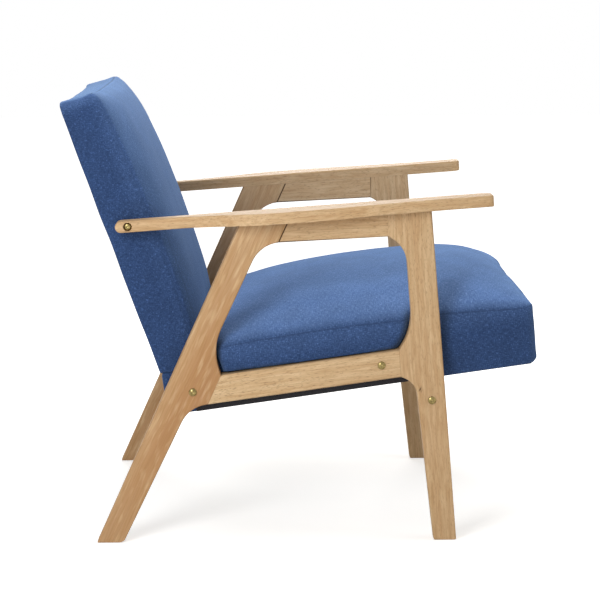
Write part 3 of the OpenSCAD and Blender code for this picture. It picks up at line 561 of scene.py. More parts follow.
class Shell:
    """Sewn panels: grids of points with their place on the cloth, joined where their edges meet."""

    def __init__(self):
        self.points, self.faces, self.uvs, self.pins = [], [], [], []
        self.count = 0

    def panel(self, grid, at=(0.0, 0.0), pinned=False, keep=None, flip=False, cloth=None):
        """Adds a panel. It lies at its own place on the cloth, so that no two panels share their slubs."""
        rows, cols = grid.shape[:2]
        flat = ((cloth_place(grid) if cloth is None else cloth) + at).reshape(-1, 2)
        self.points.append(grid.reshape(-1, 3))
        self.pins.append(np.full(rows * cols, float(pinned)))
        index = self.count + np.arange(rows * cols).reshape(rows, cols)
        for r in range(rows - 1):
            for c in range(cols - 1):
                if keep is not None and not keep[r, c]:
                    continue
                quad = [index[r, c], index[r, c + 1], index[r + 1, c + 1], index[r + 1, c]]
                if flip:
                    quad.reverse()
                self.faces.append(quad)
                self.uvs.append([flat[q - self.count] for q in quad])
        self.count += rows * cols

    def build(self, name, place, facing="out"):
        """The panels as one mesh with merged seams, its faces turned out or in, or left."""
        mesh = bpy.data.meshes.new(name)
        mesh.from_pydata(place(np.concatenate(self.points)).tolist(), [], self.faces)
        layer = mesh.uv_layers.new(name="cloth")
        layer.data.foreach_set("uv", np.array(self.uvs, dtype=np.float32).ravel())
        write(mesh, "pin", np.concatenate(self.pins))
        with editing(mesh) as work:
            bmesh.ops.delete(work, geom=[v for v in work.verts if not v.link_faces], context="VERTS")
            bmesh.ops.remove_doubles(work, verts=work.verts, dist=0.02 * mm)
            if facing:
                bmesh.ops.recalc_face_normals(work, faces=work.faces)
            if facing == "in":
                bmesh.ops.reverse_faces(work, faces=work.faces)
        return add_object(name, mesh)


def puffed_seat(t):
    """The seat's crown across its width: a tight roll just above each side seam, then a long gentle dome."""
    a = np.abs(t)
    return 0.27 * (1 - a ** 17) + 0.73 * (1 - a ** 2.2)


def puffed_back(t):
    """The back's front across its width: a broad roll at each side and a nearly flat middle."""
    a = np.abs(t)
    return 0.62 * np.sqrt(np.clip(1 - a ** 7, 0, 1)) + 0.38 * (1 - a ** 2.3)


def puffed_foam(t):
    """The foam's crown across its width, a little flatter than the covers."""
    a = np.abs(t)
    return 0.35 * (1 - a ** 10) + 0.65 * (1 - a ** 2.2)


def seat_rise(s):
    """The seat's crown from front to rear: a full front roll, a peak before the middle, and a slow fall."""
    peak = SEAT_LEN * 0.48
    t = (s - peak) / np.where(s < peak, peak, SEAT_LEN * 0.97 - peak)
    front = np.clip(1 - np.clip(-t, 0, 1) ** 4.0, 0, 1) ** 0.53
    behind = np.clip(t, 0, 2)
    rear = np.clip(0.35 * (1 - behind ** 10) + 0.65 * (1 - behind ** 1.75), 0, 1)
    return np.where(s < peak, front, rear)


def waist(share):
    """How far a cover's sides pull in between its corners."""
    return SIDE_DRAW * (1 - (2 * share - 1) ** 4)


# Height of the side seam above the seat's underside: it dips behind the front corner's small ear
SEAT_SEAM = ([-10, 0, 8, 15, 25, 40, 80, 137, 200, 264, 346, 430, 520],
             [96.5, 95.8, 93.6, 92.4, 92.4, 93.8, 97.2, 101, 102.5, 105, 105.2, 103.5, 100])
SEAT_EAR = 1.4                        # how far the crown dips beside the front corners
SEAT_BELLY = 0.7                      # how far the sides stand out halfway up
UNDER_TURN, UNDER_H = 1.4, 4.0        # how far the lower edge turns in, below this height
FRONT_DEPTH = 0.11                    # share of the seat that the front's form reaches over
FRONT_SWELL = (5.2, 18.0, 3.0, 1.2)   # how far the front stands out: at once, over the height, and how soon each
FRONT_PULL = (10.6, 1.3)              # how far the front seam is pulled in at the middle, and its fall to the sides
# The front seam is pulled in further at two places: x, depth and width
PULLS = ((-62.0, 2.6, 26.0), (92.0, 2.9, 24.0))


def seat_points(x_share, share, height, part, inset, low):
    """Seat points in its own frame. The part is crown or face, whose height runs from 0 to 1."""
    outer = inset == 0
    s = inset + (CONTACT_S - inset - SOFT_GAP - inset) * share
    corner = CORNER_R * np.clip(1 - share / 0.03, 0, 1) ** 2
    draw = waist(share) if outer else 0 * share
    w = HALF_W - inset - corner
    side_seam = np.interp(s, *SEAT_SEAM) if outer else SEAT_SIDE - inset + 0 * s
    peak = SEAT_SIDE - inset + SEAT_CROWN * seat_rise(s - inset)
    top = side_seam + (peak - side_seam) * (puffed_seat if outer else puffed_foam)(x_share)
    if outer:
        ear = np.clip((np.abs(x_share) - 0.72) / 0.28, 0, 1)
        top = top - SEAT_EAR * np.sin(math.pi * ear ** 0.8) * np.clip(1 - share / 0.05, 0, 1)
    if part == "crown":
        x, m = x_share * (w - draw), top
    else:
        m = low + (top - low) * height
        x = x_share * (w - draw * ease(height))
        if outer:
            out = SEAT_BELLY * np.sin(math.pi * height) ** 2 - UNDER_TURN * np.clip(1 - m / UNDER_H, 0, 1) ** 2
            x = x + np.sign(x_share) * (np.abs(x_share) > 0.999) * out
    front = np.clip(1 - share / FRONT_DEPTH, 0, 1) if outer else 0 * share
    full = np.clip(m / SEAT_SIDE, 0, None)
    sudden, soon, slow, late = FRONT_SWELL
    swell = front * (sudden * ease(soon * full) + slow * ease(late * (full - 0.1)))
    pull = FRONT_PULL[0] * front * (1 - np.abs(x / HALF_W) ** FRONT_PULL[1]) * ease(full)
    if outer:
        for at, depth, width in PULLS:
            pull = pull + depth * front * np.exp(-((x - at) / width) ** 2) * ease(full) ** 2
        pull = pull + 0.8 * np.clip(1 - m / UNDER_H, 0, 1) ** 2 * np.clip(1 - share / 0.02, 0, 1)
    return np.stack(np.broadcast_arrays(x, s + CONTACT_SLOPE * m * share - swell + pull, m), axis=-1)


def seat_shell(inset, low, coarse=1.0, open_below=True):
    """The seat's form, inset from its outside, from its lower level up."""
    shell = Shell()
    small, large = FINE * coarse, COARSE * coarse
    xs = 2 * steps(2 * HALF_W, True, True, small, large) - 1
    along = steps(CONTACT_S, True, False, small, large)
    up = steps(SEAT_SIDE, False, True, small, 6.0 * coarse)
    X, S = np.meshgrid(xs, along)
    shell.panel(seat_points(X, S, 1.0, "crown", inset, low))
    for side in (-1.0, 1.0):
        S2, H2 = np.meshgrid(along, up)
        shell.panel(seat_points(side + 0 * S2, S2, H2, "face", inset, low), (side * 0.4, 1.7), flip=side > 0)
    X3, H3 = np.meshgrid(xs, up)
    for end in (0.0, 1.0):
        shell.panel(seat_points(X3, end + 0 * X3, H3, "face", inset, low), (0.13, 2.4),
                    pinned=end == 1.0, flip=end == 0)
    bottom = seat_points(X, S, 0.0, "face", inset, low)
    mid_x = np.abs((bottom[:-1, :-1, 0] + bottom[1:, 1:, 0]) / 2)
    mid_s = (bottom[:-1, :-1, 1] + bottom[1:, 1:, 1]) / 2
    rim = (mid_x > HALF_W - HEM_W) | (mid_s < HEM_W) | (not open_below)
    shell.panel(bottom, (0.0, 3.3), pinned=True, keep=rim, flip=True)
    return shell


BACK_ROLL = 3.6                # how far the front's roll pulls the sides in between top and foot
ROLL_FROM = 0.62               # where on the side panel that pull begins
BACK_UNDER = 1.6               # how far the rear edge of the side turns in
TOP_EAR, TOP_DROP, TOP_SAG = 4.6, 2.6, 2.4    # ears beside the top corners, the corners' drop, the middle's sag


def back_points(x_share, share, height, part, inset, low, lift):
    """Back points in its own frame. The part is crown, rear, side or face; height runs from 0 to 1."""
    outer = inset == 0
    corner = CORNER_R * np.clip((share - 0.96) / 0.04, 0, 1) ** 2 if outer else 0 * share
    # The side is thickest near the middle of its height, and 12 mm thinner at the top
    seam = BACK_SIDE - 12 * ((share - 0.47) / 0.53) ** 2 - inset - corner / 2
    draw = waist(share) if outer else 0 * share
    w = HALF_W - inset - corner * 0.6
    full = 0.86 * BACK_CROWN * (0.37 + 0.63 * (1 - (2 * share - 1) ** 6))
    full = full * np.clip(1 - np.clip((share - 0.93) / 0.07, 0, 1) ** 2.6, 0, 1) ** 0.5
    front = seam + full * (puffed_back if outer else puffed_foam)(x_share)
    front = np.where(share < 0.11, np.minimum(front, CONTACT_N - inset - SOFT_GAP), front)
    roll = BACK_ROLL * (1 - (2 * share - 1) ** 4) if outer else 0 * share
    if part == "crown":
        x, n = x_share * (w - draw - roll), front
    elif part == "rear":
        x, n = x_share * (w - (BACK_UNDER if outer else 0)), low + 0 * x_share * share
    else:
        n = low + (seam + (front - seam) * (0 if part == "side" else 1) - low) * height
        late = np.clip((height - ROLL_FROM) / (1 - ROLL_FROM), 0, 1) ** 2
        x = x_share * (w - draw * ease(height) - roll * late)
        if outer:
            x = x - x_share * BACK_UNDER * np.clip(1 - (n - low) / 5, 0, 1) ** 2
    a = (lift - CONTACT_SLOPE * n) * (1 - share) + (BACK_LEN - inset) * share
    if outer:
        edge = np.abs(x / HALF_W)
        n_ear = np.clip(np.abs(n - 38) / 38, 0, 1) ** 1.5
        ear = TOP_EAR * np.exp(-((edge - 0.93) / 0.10) ** 2) * n_ear
        ear = ear - TOP_DROP * np.clip((edge - 0.955) / 0.045, 0, 1) ** 2
        sag = TOP_SAG * np.clip((0.85 - edge) / 0.3, 0, 1) * np.clip(n / 26, 0, 1)
        round_off = 3.0 + 4.5 * ease((edge - 0.9) / 0.1)
        rear_edge = round_off * (1 - np.sqrt(1 - np.clip(1 - n / (1.5 * round_off), 0, 1) ** 2))
        a = a + np.clip((share - 0.9) / 0.1, 0, 1) ** 2 * (ear - sag - rear_edge)
    return np.stack(np.broadcast_arrays(x, n, a), axis=-1)


def back_shell(inset, low, lift, coarse=1.0):
    """The back's form, inset from its outside, with its foot lifted off the ledge."""
    shell = Shell()
    small, large = FINE * coarse, COARSE * coarse
    xs = 2 * steps(2 * HALF_W, True, True, small, large) - 1
    along = steps(BACK_LEN, False, True, small, large)
    thick = steps(BACK_SIDE, True, True, small, 6.0 * coarse)
    X, S = np.meshgrid(xs, along)
    shell.panel(back_points(X, S, 1.0, "crown", inset, low, lift), (0.7, 5.1), flip=True)
    shell.panel(back_points(X, S, 0.0, "rear", inset, low, lift), (0.7, 6.3))
    for side in (-1.0, 1.0):
        S2, H2 = np.meshgrid(along, thick)
        grid = back_points(side + 0 * S2, S2, H2, "side", inset, low, lift)
        shell.panel(grid, (side * 0.9, 7.7), flip=side < 0, cloth=cloth_place(grid)[..., ::-1])
    X3, H3 = np.meshgrid(xs, thick)
    for end in (0.0, 1.0):
        shell.panel(back_points(X3, end + 0 * X3, H3, "face", inset, low, lift), (0.3, 8.9),
                    pinned=end == 0.0, flip=end == 1)
    return shell


STUFFING = {"quality": 5, "mass": 0.35, "tension_stiffness": 18, "compression_stiffness": 18,
            "shear_stiffness": 6, "bending_stiffness": 0.6, "use_pressure": True,
            "uniform_pressure_force": 4.0, "vertex_group_mass": "sewn"}
STUFFING_FRAMES = 20
SMOOTHINGS = 16


def inflate(obj, held, most):
    """Cloth simulation under a little pressure; held points stay, and none moves further than most."""
    start = points_of(obj.data)
    group = obj.vertex_groups.new(name="sewn")
    for k in np.nonzero(held > 0)[0]:
        group.add([int(k)], float(held[k]), "REPLACE")
    cloth = obj.modifiers.new("stuffing", "CLOTH")
    for name, value in STUFFING.items():
        setattr(cloth.settings, name, value)
    cloth.settings.effector_weights.gravity = 0
    cloth.point_cache.frame_start, cloth.point_cache.frame_end = 1, STUFFING_FRAMES
    scene = bpy.context.scene
    for number in range(1, STUFFING_FRAMES + 1):
        scene.frame_set(number)
    graph = bpy.context.evaluated_depsgraph_get()
    moved = points_of(obj.evaluated_get(graph).data) - start
    obj.modifiers.clear()
    obj.vertex_groups.clear()
    scene.frame_set(1)
    length = np.linalg.norm(moved, axis=1, keepdims=True)
    moved *= np.minimum(1, most * np.tanh(length / most) / np.maximum(length, 1e-9))
    # What is left is smoothed along the edges, because the bare result has creases
    a, b = read(obj.data.edges, "vertices", 2, np.int64).T
    count = (np.bincount(a, minlength=len(start)) + np.bincount(b, minlength=len(start)))[:, None]
    for _ in range(SMOOTHINGS):
        around = np.zeros_like(moved)
        np.add.at(around, a, moved[b])
        np.add.at(around, b, moved[a])
        moved = (0.4 * moved + 0.6 * around / count) * (1 - 0.9 * held[:, None] ** 2)
    set_points(obj.data, start + moved)


def narrowed(mesh, half):
    """A mesh's points, none further out than half a width in mm."""
    p = points_of(mesh)
    p[:, 0] = np.clip(p[:, 0], -half * mm, half * mm)
    set_points(mesh, p)
    return p


def subdivide(obj):
    finer = obj.modifiers.new("finer", "SUBSURF")
    finer.levels = finer.render_levels = 1
    settle(obj)


STITCH_W = 0.9 * mm


def sew(obj, lines, depth, seed, width, dark, stitches=(), pucker=0.45):
    """Sinks the seams into a subdivided cover, with small puckers beside them, and paints shade along them."""
    arc = np.concatenate([np.cumsum(np.linalg.norm(np.diff(l, axis=0, prepend=l[:1]), axis=1)) for l in lines])
    p, n = points_of(obj.data), read(obj.data.vertex_normals, "vector", 3)
    d, seam = nearest(p, lines)
    d, at, q = d / mm, arc[seam] / mm, p / mm
    # In mm: a groove 2 wide with a ridge 6.5 beside it, puckers about 13 apart that fade over 10, and lumps of 95
    wave = np.sin(at * 2 * math.pi / 13 + 2.2 * ripple(q, 60, seed)) * (0.5 + 0.5 * ripple(q, 45, seed + 1))
    push = -depth * np.exp(-(d / 2.1) ** 2) + 0.35 * np.exp(-((d - 6.5) / 4.5) ** 2)
    push += pucker * np.exp(-d / 10) * (1 - np.exp(-(d / 2.5) ** 2)) * wave
    push += 0.5 * ripple(q, 95, seed + 2) * (1 - np.exp(-(d / 18) ** 2))
    set_points(obj.data, p + n * push[:, None] * mm)
    # Painted shade along the seams' grooves, and fainter painted shade along the rows of stitches
    shade = np.concatenate([np.full(len(line), value) for line, value in zip(lines, dark)])
    painted_seam_shade = shade[seam] * np.exp(-(d / width) ** 2)
    if stitches:
        painted_seam_shade = np.maximum(painted_seam_shade, 0.5 * np.exp(-(nearest(p, stitches)[0] / STITCH_W) ** 2))
    write(obj.data, "seam", painted_seam_shade)


def held_points(mesh, lines, reach=5 * mm):
    """1 for points that are pinned by their panel or lie on a seam, fading out within reach."""
    pins = read(mesh.attributes["pin"].data, "value", 1)[:, 0]
    return np.clip(np.maximum(pins, 1 - nearest(points_of(mesh), lines)[0] / reach), 0, 1)


def join(obj, other):
    """Joins another object's mesh into obj."""
    with editing(obj.data) as work:
        work.from_mesh(other.data)
    bpy.data.objects.remove(other)


# Heights above the seat's underside, and how far its sides stand out there: between the legs, and ahead of them
BULGE_AT = (0, 14, 40, 57, 60, 67, 80, 95, 120)
BULGE_BETWEEN = (0, 0, 4, 14, 20, 22, 22, 19, 17)
BULGE_AHEAD = (0, 1.6, 3.8, 4.6, 4.6, 4.3, 3.2, 0.8, 0)
BETWEEN_FROM = -0.195          # the front legs' place along Y, where one form takes over from the other
# The boards in the way of a side, and how far from each the cover takes its full form
IN_THE_WAY = (("rear_leg", 11.0), ("front_leg", 11.0), ("seat_rail", 2.0))


def bulge_out(mesh):
    """Pushes the seat's sides out where no board is in the way: over the rail between the legs, and ahead."""
    p = points_of(mesh)
    boards = {side: [(board_tree(f"{side}_{kind}"), fade) for kind, fade in IN_THE_WAY]
              for side in ("right", "left")}
    along, height = from_room(p, *SEAT_FRAME)
    out = np.abs(p[:, 0]) / mm
    # Between the legs the push begins 205 mm from the middle and ends 560 mm along; ahead it stays at the side
    over = ease((out - 205) / 47) * np.interp(height, BULGE_AT, BULGE_BETWEEN) * ease((560 - along) / 30)
    past = ease((out - HALF_W + 9) / 8) * np.interp(height, BULGE_AT, BULGE_AHEAD) * ease((along - 6) / 30)
    amount = np.where(p[:, 1] > BETWEEN_FROM, over, past)
    for k in np.nonzero(amount > 0.05)[0]:
        sign = math.copysign(1.0, p[k, 0])
        middle = Vector((sign * BOARD_X * mm, p[k, 1], p[k, 2]))
        clear = 1.0
        for tree, fade in boards["left" if sign > 0 else "right"]:
            if tree.ray_cast(middle + Vector((sign * 0.05, 0, 0)), Vector((-sign, 0, 0)), 0.049)[0] is not None:
                clear = 0.0
                break
            clear = min(clear, (tree.find_nearest(middle)[3] / mm - 0.3) / fade)
        p[k, 0] += sign * amount[k] * mm * math.sqrt(max(0.0, clear))
    set_points(mesh, p)


SEAM_POINTS = 800
LEDGE_R, LEDGE_DEPTH = 5.0, 40.0
BOLT_HOLE_R, BOLT_HOLE_DEEP = 8.6, 26.5


def make_seat_cover():
    obj = seat_shell(0.0, 0.0).build("seat_cover_linen", seat_room)
    t = np.linspace(0, 1, SEAM_POINTS)
    ends = [(side + 0 * t, t) for side in (-1.0, 1.0)] + [(2 * t - 1, 0 * t)]
    lines = [seat_room(seat_points(*end, 1.0, "crown", 0.0, 0.0)) for end in ends]
    inflate(obj, held_points(obj.data, lines), 4.5 * mm)
    narrowed(obj.data, HALF_W)
    subdivide(obj)
    sew(obj, lines, 0.6, 11, 0.85, (0.6, 0.6, 0.6))
    p = narrowed(obj.data, HALF_W + 0.3)
    # Nothing hangs below the underside, where the dust sheet lies
    high = from_room(p, *SEAT_FRAME)[1]
    below = np.minimum(high, 0)
    p[:, 1] -= below * SEAT_UP[0] * mm
    p[:, 2] -= below * SEAT_UP[1] * mm
    set_points(obj.data, p)
    bulge_out(obj.data)
    # Painted light: the cloth is coloured lighter where its faces look up, less on the rolls at the sides, most in
    # front and towards the far side, and a little along the sides' upper part
    roll = 0.3 + 0.7 * ease((HALF_W - np.abs(p[:, 0]) / mm) / 20)
    share = ease((read(obj.data.vertex_normals, "vector", 3)[:, 2] - 0.2) / 0.7) * roll
    share = share * (0.84 + 0.18 * ease((-0.02 - p[:, 1]) / 0.22)) * (1 + 0.18 * p[:, 0] / (HALF_W * mm))
    write(obj.data, "rubbed", np.clip(np.maximum(share, 0.01 + 0.15 * ease((high - 62) / 36)), 0, 1))
    join(obj, seat_shell(WALL, HEM, INNER).build("seat_cover_inner", seat_room, "in"))
    ledge = rounded_box("seat_ledge", (-HALF_W + 0.5, CONTACT_S - LEDGE_DEPTH, 0), (HALF_W - 0.5, SEAT_LEN, LEDGE_H),
                        LEDGE_R)
    punch_holes(ledge, BOLT_HOLE_R, BOLT_HOLE_DEEP)
    join(obj, ledge)
    smooth(obj.data, 60)
    dress(obj, "seat_cover", "linen")


def punch_holes(obj, radius, deep, below=6.0):
    """Cuts the two holes through which the back's bolts are reached from below the seat."""
    punches = []
    for x in (-BACK_BOLT[0], BACK_BOLT[0]):
        mesh = bpy.data.meshes.new("punch")
        with editing(mesh) as work:
            bmesh.ops.create_cone(work, cap_ends=True, segments=32, radius1=radius * mm, radius2=radius * mm,
                                  depth=(deep + below) * mm)
            bmesh.ops.rotate(work, verts=work.verts, matrix=Matrix.Rotation(-SEAT_T, 3, "X"))
            middle = seat_room(np.array([x, BACK_BOLT[1], (deep - below) / 2]))
            bmesh.ops.translate(work, verts=work.verts, vec=Vector(middle))
        punches.append(add_object("punch", mesh))
        cut = obj.modifiers.new("bolt_hole", "BOOLEAN")
        cut.operation, cut.solver, cut.object = "DIFFERENCE", "EXACT", punches[-1]
    settle(obj)
    for punch in punches:
        bpy.data.objects.remove(punch)


def rounded_box(name, low, high, r):
    """A closed box in the seat's frame with rounded edges and cloth places on its faces."""
    low, high = np.array(low), np.array(high)
    shell = Shell()
    mid, half = (low + high) / 2, (high - low) / 2
    cuts = [steps(2 * half[k], True, True, 2.0, 14.0, 1.5) * 2 - 1 for k in range(3)]
    for axis in range(3):
        u, v = [k for k in range(3) if k != axis]
        U, V = np.meshgrid(cuts[u] * half[u], cuts[v] * half[v])
        for sign in (-1.0, 1.0):
            grid = np.zeros(U.shape + (3,))
            grid[..., u], grid[..., v], grid[..., axis] = U, V, sign * half[axis]
            core = np.clip(grid, -(half - r), half - r)
            away = grid - core
            size = np.linalg.norm(away, axis=-1, keepdims=True)
            grid = core + away / np.maximum(size, 1e-9) * r * (size > 1e-9)
            shell.panel(grid + mid, (axis * 0.9, 9.4), pinned=True, cloth=np.stack([U, V], axis=-1) * mm)
    return shell.build(name, seat_room)


def make_back_cover():
    obj = back_shell(0.0, 0.0, 0.0).build("back_cover_linen", back_room)
    t = np.linspace(0, 1, SEAM_POINTS)

    def line(x_share, share, height=1.0, part="crown"):
        return back_room(back_points(x_share + 0 * t, share + 0 * t, height, part, 0.0, 0.0, 0.0))

    lines = [line(-1.0, t), line(1.0, t), line(2 * t - 1, 1)]
    held = held_points(obj.data, lines + [line(side, t, 0.0, "rear") for side in (-1.0, 1.0)])
    thick, high = from_room(points_of(obj.data), *BACK_FRAME)
    inflate(obj, np.maximum(held, (high < 60) | (thick < 1.0)), 2.4 * mm)
    narrowed(obj.data, HALF_W)
    subdivide(obj)
    # The painted seam shade is faint on the side seams and dark on the top seam, and a faint row of stitches with
    # painted shade runs beside each roll
    sew(obj, lines, 0.9, 23, 1.5, (0.12, 0.12, 0.85), [line(-0.93, t), line(0.93, t)])
    p = narrowed(obj.data, HALF_W + 0.3)
    n = read(obj.data.vertex_normals, "vector", 3)
    frontward, upward = (np.clip(n[:, 1] * way[0] + n[:, 2] * way[1], 0, 1) for way in (BACK_FRONT, BACK_UP))
    # Painted light: the cloth is coloured lighter on the front, more towards the top, on the sides near the front,
    # and most on faces that look up, as on the top edge
    rise = np.clip((p[:, 2] / mm - 400) / 320, 0, 1)
    thick = from_room(p, *BACK_FRAME)[0]
    front = frontward ** 2 * 0.66 * rise ** 1.4 * (0.5 + 0.5 * ease((HALF_W - np.abs(p[:, 0]) / mm) / 30))
    side = 0.17 * ease((thick - 42) / 24) * (0.25 + 0.75 * rise) * (1 - frontward)
    write(obj.data, "rubbed", np.clip(front + side + 0.9 * upward ** 1.5, 0, 1))
    join(obj, back_shell(WALL, WALL, WALL, INNER).build("back_cover_inner", back_room, "in"))
    smooth(obj.data, 60)
    dress(obj, "back_cover", "linen")


def make_foam(name, shell, place, node):
    """A foam block cut to the cover's form, under the linen."""
    obj = shell.build(name, place)
    smooth(obj.data, 40)
    dress(obj, node, "foam")


make_seat_cover()
make_back_cover()
SEAT_FOAM_LOW, BACK_FOAM_LOW = 62.3, 52.3
make_foam("seat_foam_block", seat_shell(WALL + SOFT_GAP, SEAT_FOAM_LOW, INNER, open_below=False), seat_room,
          "seat_foam")
make_foam("back_foam_block", back_shell(WALL + SOFT_GAP, BACK_FOAM_LOW, WALL + 2 * SOFT_GAP, INNER), back_room,
          "back_foam")


# Dust sheet under the seat

DUST_T, DUST_EDGE, DUST_UP, DUST_FROM, DUST_TO = 0.4, 6.0, 9.5, 208.7, SEAT_LEN - 47.5
DUST_HOLE_R, DUST_SAG = 8.5, (1.5, 0.5)


def make_dust_sheet():
    """Black cloth stretched under the seat frame, its long edges turned up between the legs."""
    flat_w = HALF_W - SIDE_DRAW
    level = flat_w * (2 * steps(2 * flat_w, True, True, 4.0, 16.0, 1.5) - 1)
    side = [(-HALF_W - 0.25, m) for m in (DUST_UP, 6.0, 3.0, 1.0, -0.05)]
    across = np.array(side + [(x, -0.3) for x in level] + [(-x, m) for x, m in side[::-1]])
    cuts = np.concatenate([np.linspace(DUST_EDGE, DUST_FROM, 14), np.linspace(DUST_FROM, DUST_TO, 24)[1:],
                           [DUST_TO + 20, SEAT_LEN - DUST_EDGE]])
    X, S = np.meshgrid(across[:, 0], cuts)
    span = np.sin(math.pi * (S - DUST_EDGE) / (SEAT_LEN - 2 * DUST_EDGE)) * np.clip(1 - (X / flat_w) ** 2, 0, 1)
    uneven = ripple(np.stack([X.ravel(), S.ravel()], 1), 120, 5).reshape(X.shape)
    M = across[:, 1] + 0 * S - span * (DUST_SAG[0] + DUST_SAG[1] * uneven)
    keep = np.zeros((len(cuts) - 1, len(across) - 1), dtype=bool)
    keep[:, len(side):len(across) - 1 - len(side)] = True
    middle = (cuts[:-1] + cuts[1:]) / 2
    keep |= ((middle > DUST_FROM) & (middle < DUST_TO))[:, None]
    shell = Shell()
    shell.panel(np.stack([X, S, M], axis=-1), keep=keep)
    obj = shell.build("seat_dust_sheet", seat_room, facing=None)
    wall = obj.modifiers.new("cloth_thickness", "SOLIDIFY")
    wall.thickness, wall.offset = DUST_T * mm, 0.0
    settle(obj)
    punch_holes(obj, DUST_HOLE_R, 6.0)
    smooth(obj.data, 40)
    dress(obj, "dust_cover", "dust_cloth")


make_dust_sheet()


# Bolts and staples, set out with geometry nodes

def new_tree(name, **wanted):
    """A geometry tree with named inputs; returns it, its input node and the inputs' identifiers by name."""
    tree = bpy.data.node_groups.new(name, "GeometryNodeTree")
    ids = {}
    for title, (kind, value) in wanted.items():
        title = title.replace("_", " ")
        made = tree.interface.new_socket(title, in_out="INPUT", socket_type="NodeSocket" + kind)
        if value is not None:
            made.default_value = value
        ids[title] = made.identifier
    tree.interface.new_socket("Geometry", in_out="OUTPUT", socket_type="NodeSocketGeometry")
    return tree, put(tree, "NodeGroupInput").outputs, ids


def set_out(tree, start, points, instance, rotation, **more):
    """Ends a tree: puts an instance on each point, as real mesh in the tree's material."""
    placed = put(tree, "GeometryNodeInstanceOnPoints", {
        "Points": points, "Instance": instance, "Rotation": rotation, **more})
    real = put(tree, "GeometryNodeRealizeInstances", {"Geometry": placed.outputs[0]})
    coated = put(tree, "GeometryNodeSetMaterial", {"Geometry": real.outputs[0], "Material": start["Material"]})
    put(tree, "NodeGroupOutput", {"Geometry": coated.outputs[0]})


# A domed bolt in mm: radius of head, shank and hexagon socket, the socket's depth, the head's height and dome
HEAD_R, SHANK_R, SOCKET_R, SOCKET_DEEP, HEAD_H, DOME_H = 6.5, 3.0, 2.3, 2.2, 3.5, 2.5
DOME_RINGS = (6.2, 5.6, 4.8, 3.9, 3.1, 2.75)
HEAD_TURNS = 48
ARM_BOLT_X = 282.4       # the heads at the armrests' rear ends sit this far from the middle


def head_mesh():
    """A domed bolt along +X: its head sits on x = 0, with a hexagon socket, and its shank runs to -X."""
    cap = (HEAD_R ** 2 + DOME_H ** 2) / (2 * DOME_H)
    rings = [(-1.0, SHANK_R, False), (0.0, SHANK_R, False), (0.0, HEAD_R - 0.4, False), (0.18, HEAD_R, False),
             (0.85, HEAD_R, False)]
    rings += [(HEAD_H - cap + math.sqrt(cap ** 2 - r ** 2), r, False) for r in DOME_RINGS]
    rings += [(HEAD_H - 0.2, SOCKET_R + 0.12, True), (HEAD_H - 0.4, SOCKET_R, True),
              (HEAD_H - SOCKET_DEEP, SOCKET_R, True), (HEAD_H - SOCKET_DEEP - 0.5, 0.7, False)]
    mesh = bpy.data.meshes.new("bolt_head")
    with editing(mesh) as work:
        loops = []
        for x, r, hexagon in rings:
            loop = []
            for k in range(HEAD_TURNS):
                a = 2 * math.pi * k / HEAD_TURNS
                grow = math.cos(math.pi / 6) / math.cos((a % (math.pi / 3)) - math.pi / 6) if hexagon else 1.0
                loop.append(work.verts.new((x * mm, r * grow * mm * math.cos(a), r * grow * mm * math.sin(a))))
            loops.append(loop)
        for a, b in zip(loops, loops[1:]):
            for k in range(HEAD_TURNS):
                after = (k + 1) % HEAD_TURNS
                work.faces.new((a[k], a[after], b[after], b[k]))
        work.faces.new(loops[0][::-1])
        work.faces.new(loops[-1])
        bmesh.ops.recalc_face_normals(work, faces=work.faces)
    smooth(mesh, 38)
    return mesh


def bolt_tree():
    """Puts a bolt on every point, turned as the point's 'aim' says, with the shank pulled to its length."""
    tree, start, ids = new_tree(
        "bolts_in_a_row", Geometry=("Geometry", None), Bolt=("Object", None), Head_width=("Float", 0.013),
        Shank_length=("Float", 0.05), Material=("Material", None))
    shape = put(tree, "GeometryNodeObjectInfo", {"Object": start["Bolt"]})
    spot = put(tree, "GeometryNodeInputPosition")
    parts = put(tree, "ShaderNodeSeparateXYZ", {0: spot.outputs[0]}).outputs
    behind = put(tree, "FunctionNodeCompare", {0: parts["X"], 1: -0.5 * mm}, data_type="FLOAT",
                 operation="LESS_THAN")
    pulled = maths(tree, "SUBTRACT", 0.0, start["Shank length"])
    long = put(tree, "ShaderNodeCombineXYZ", {"X": pulled, "Y": parts["Y"], "Z": parts["Z"]})
    shaped = put(tree, "GeometryNodeSetPosition", {
        "Geometry": shape.outputs["Geometry"], "Selection": behind.outputs[0], "Position": long.outputs[0]})
    wide = maths(tree, "DIVIDE", start["Head width"], 2 * HEAD_R * mm)
    size = put(tree, "ShaderNodeCombineXYZ", {"X": 1.0, "Y": wide, "Z": wide})
    aim = put(tree, "GeometryNodeInputNamedAttribute", {"Name": "aim"}, data_type="FLOAT_VECTOR")
    set_out(tree, start, start["Geometry"], shaped.outputs[0], aim.outputs["Attribute"], Scale=size.outputs[0])
    return tree, ids


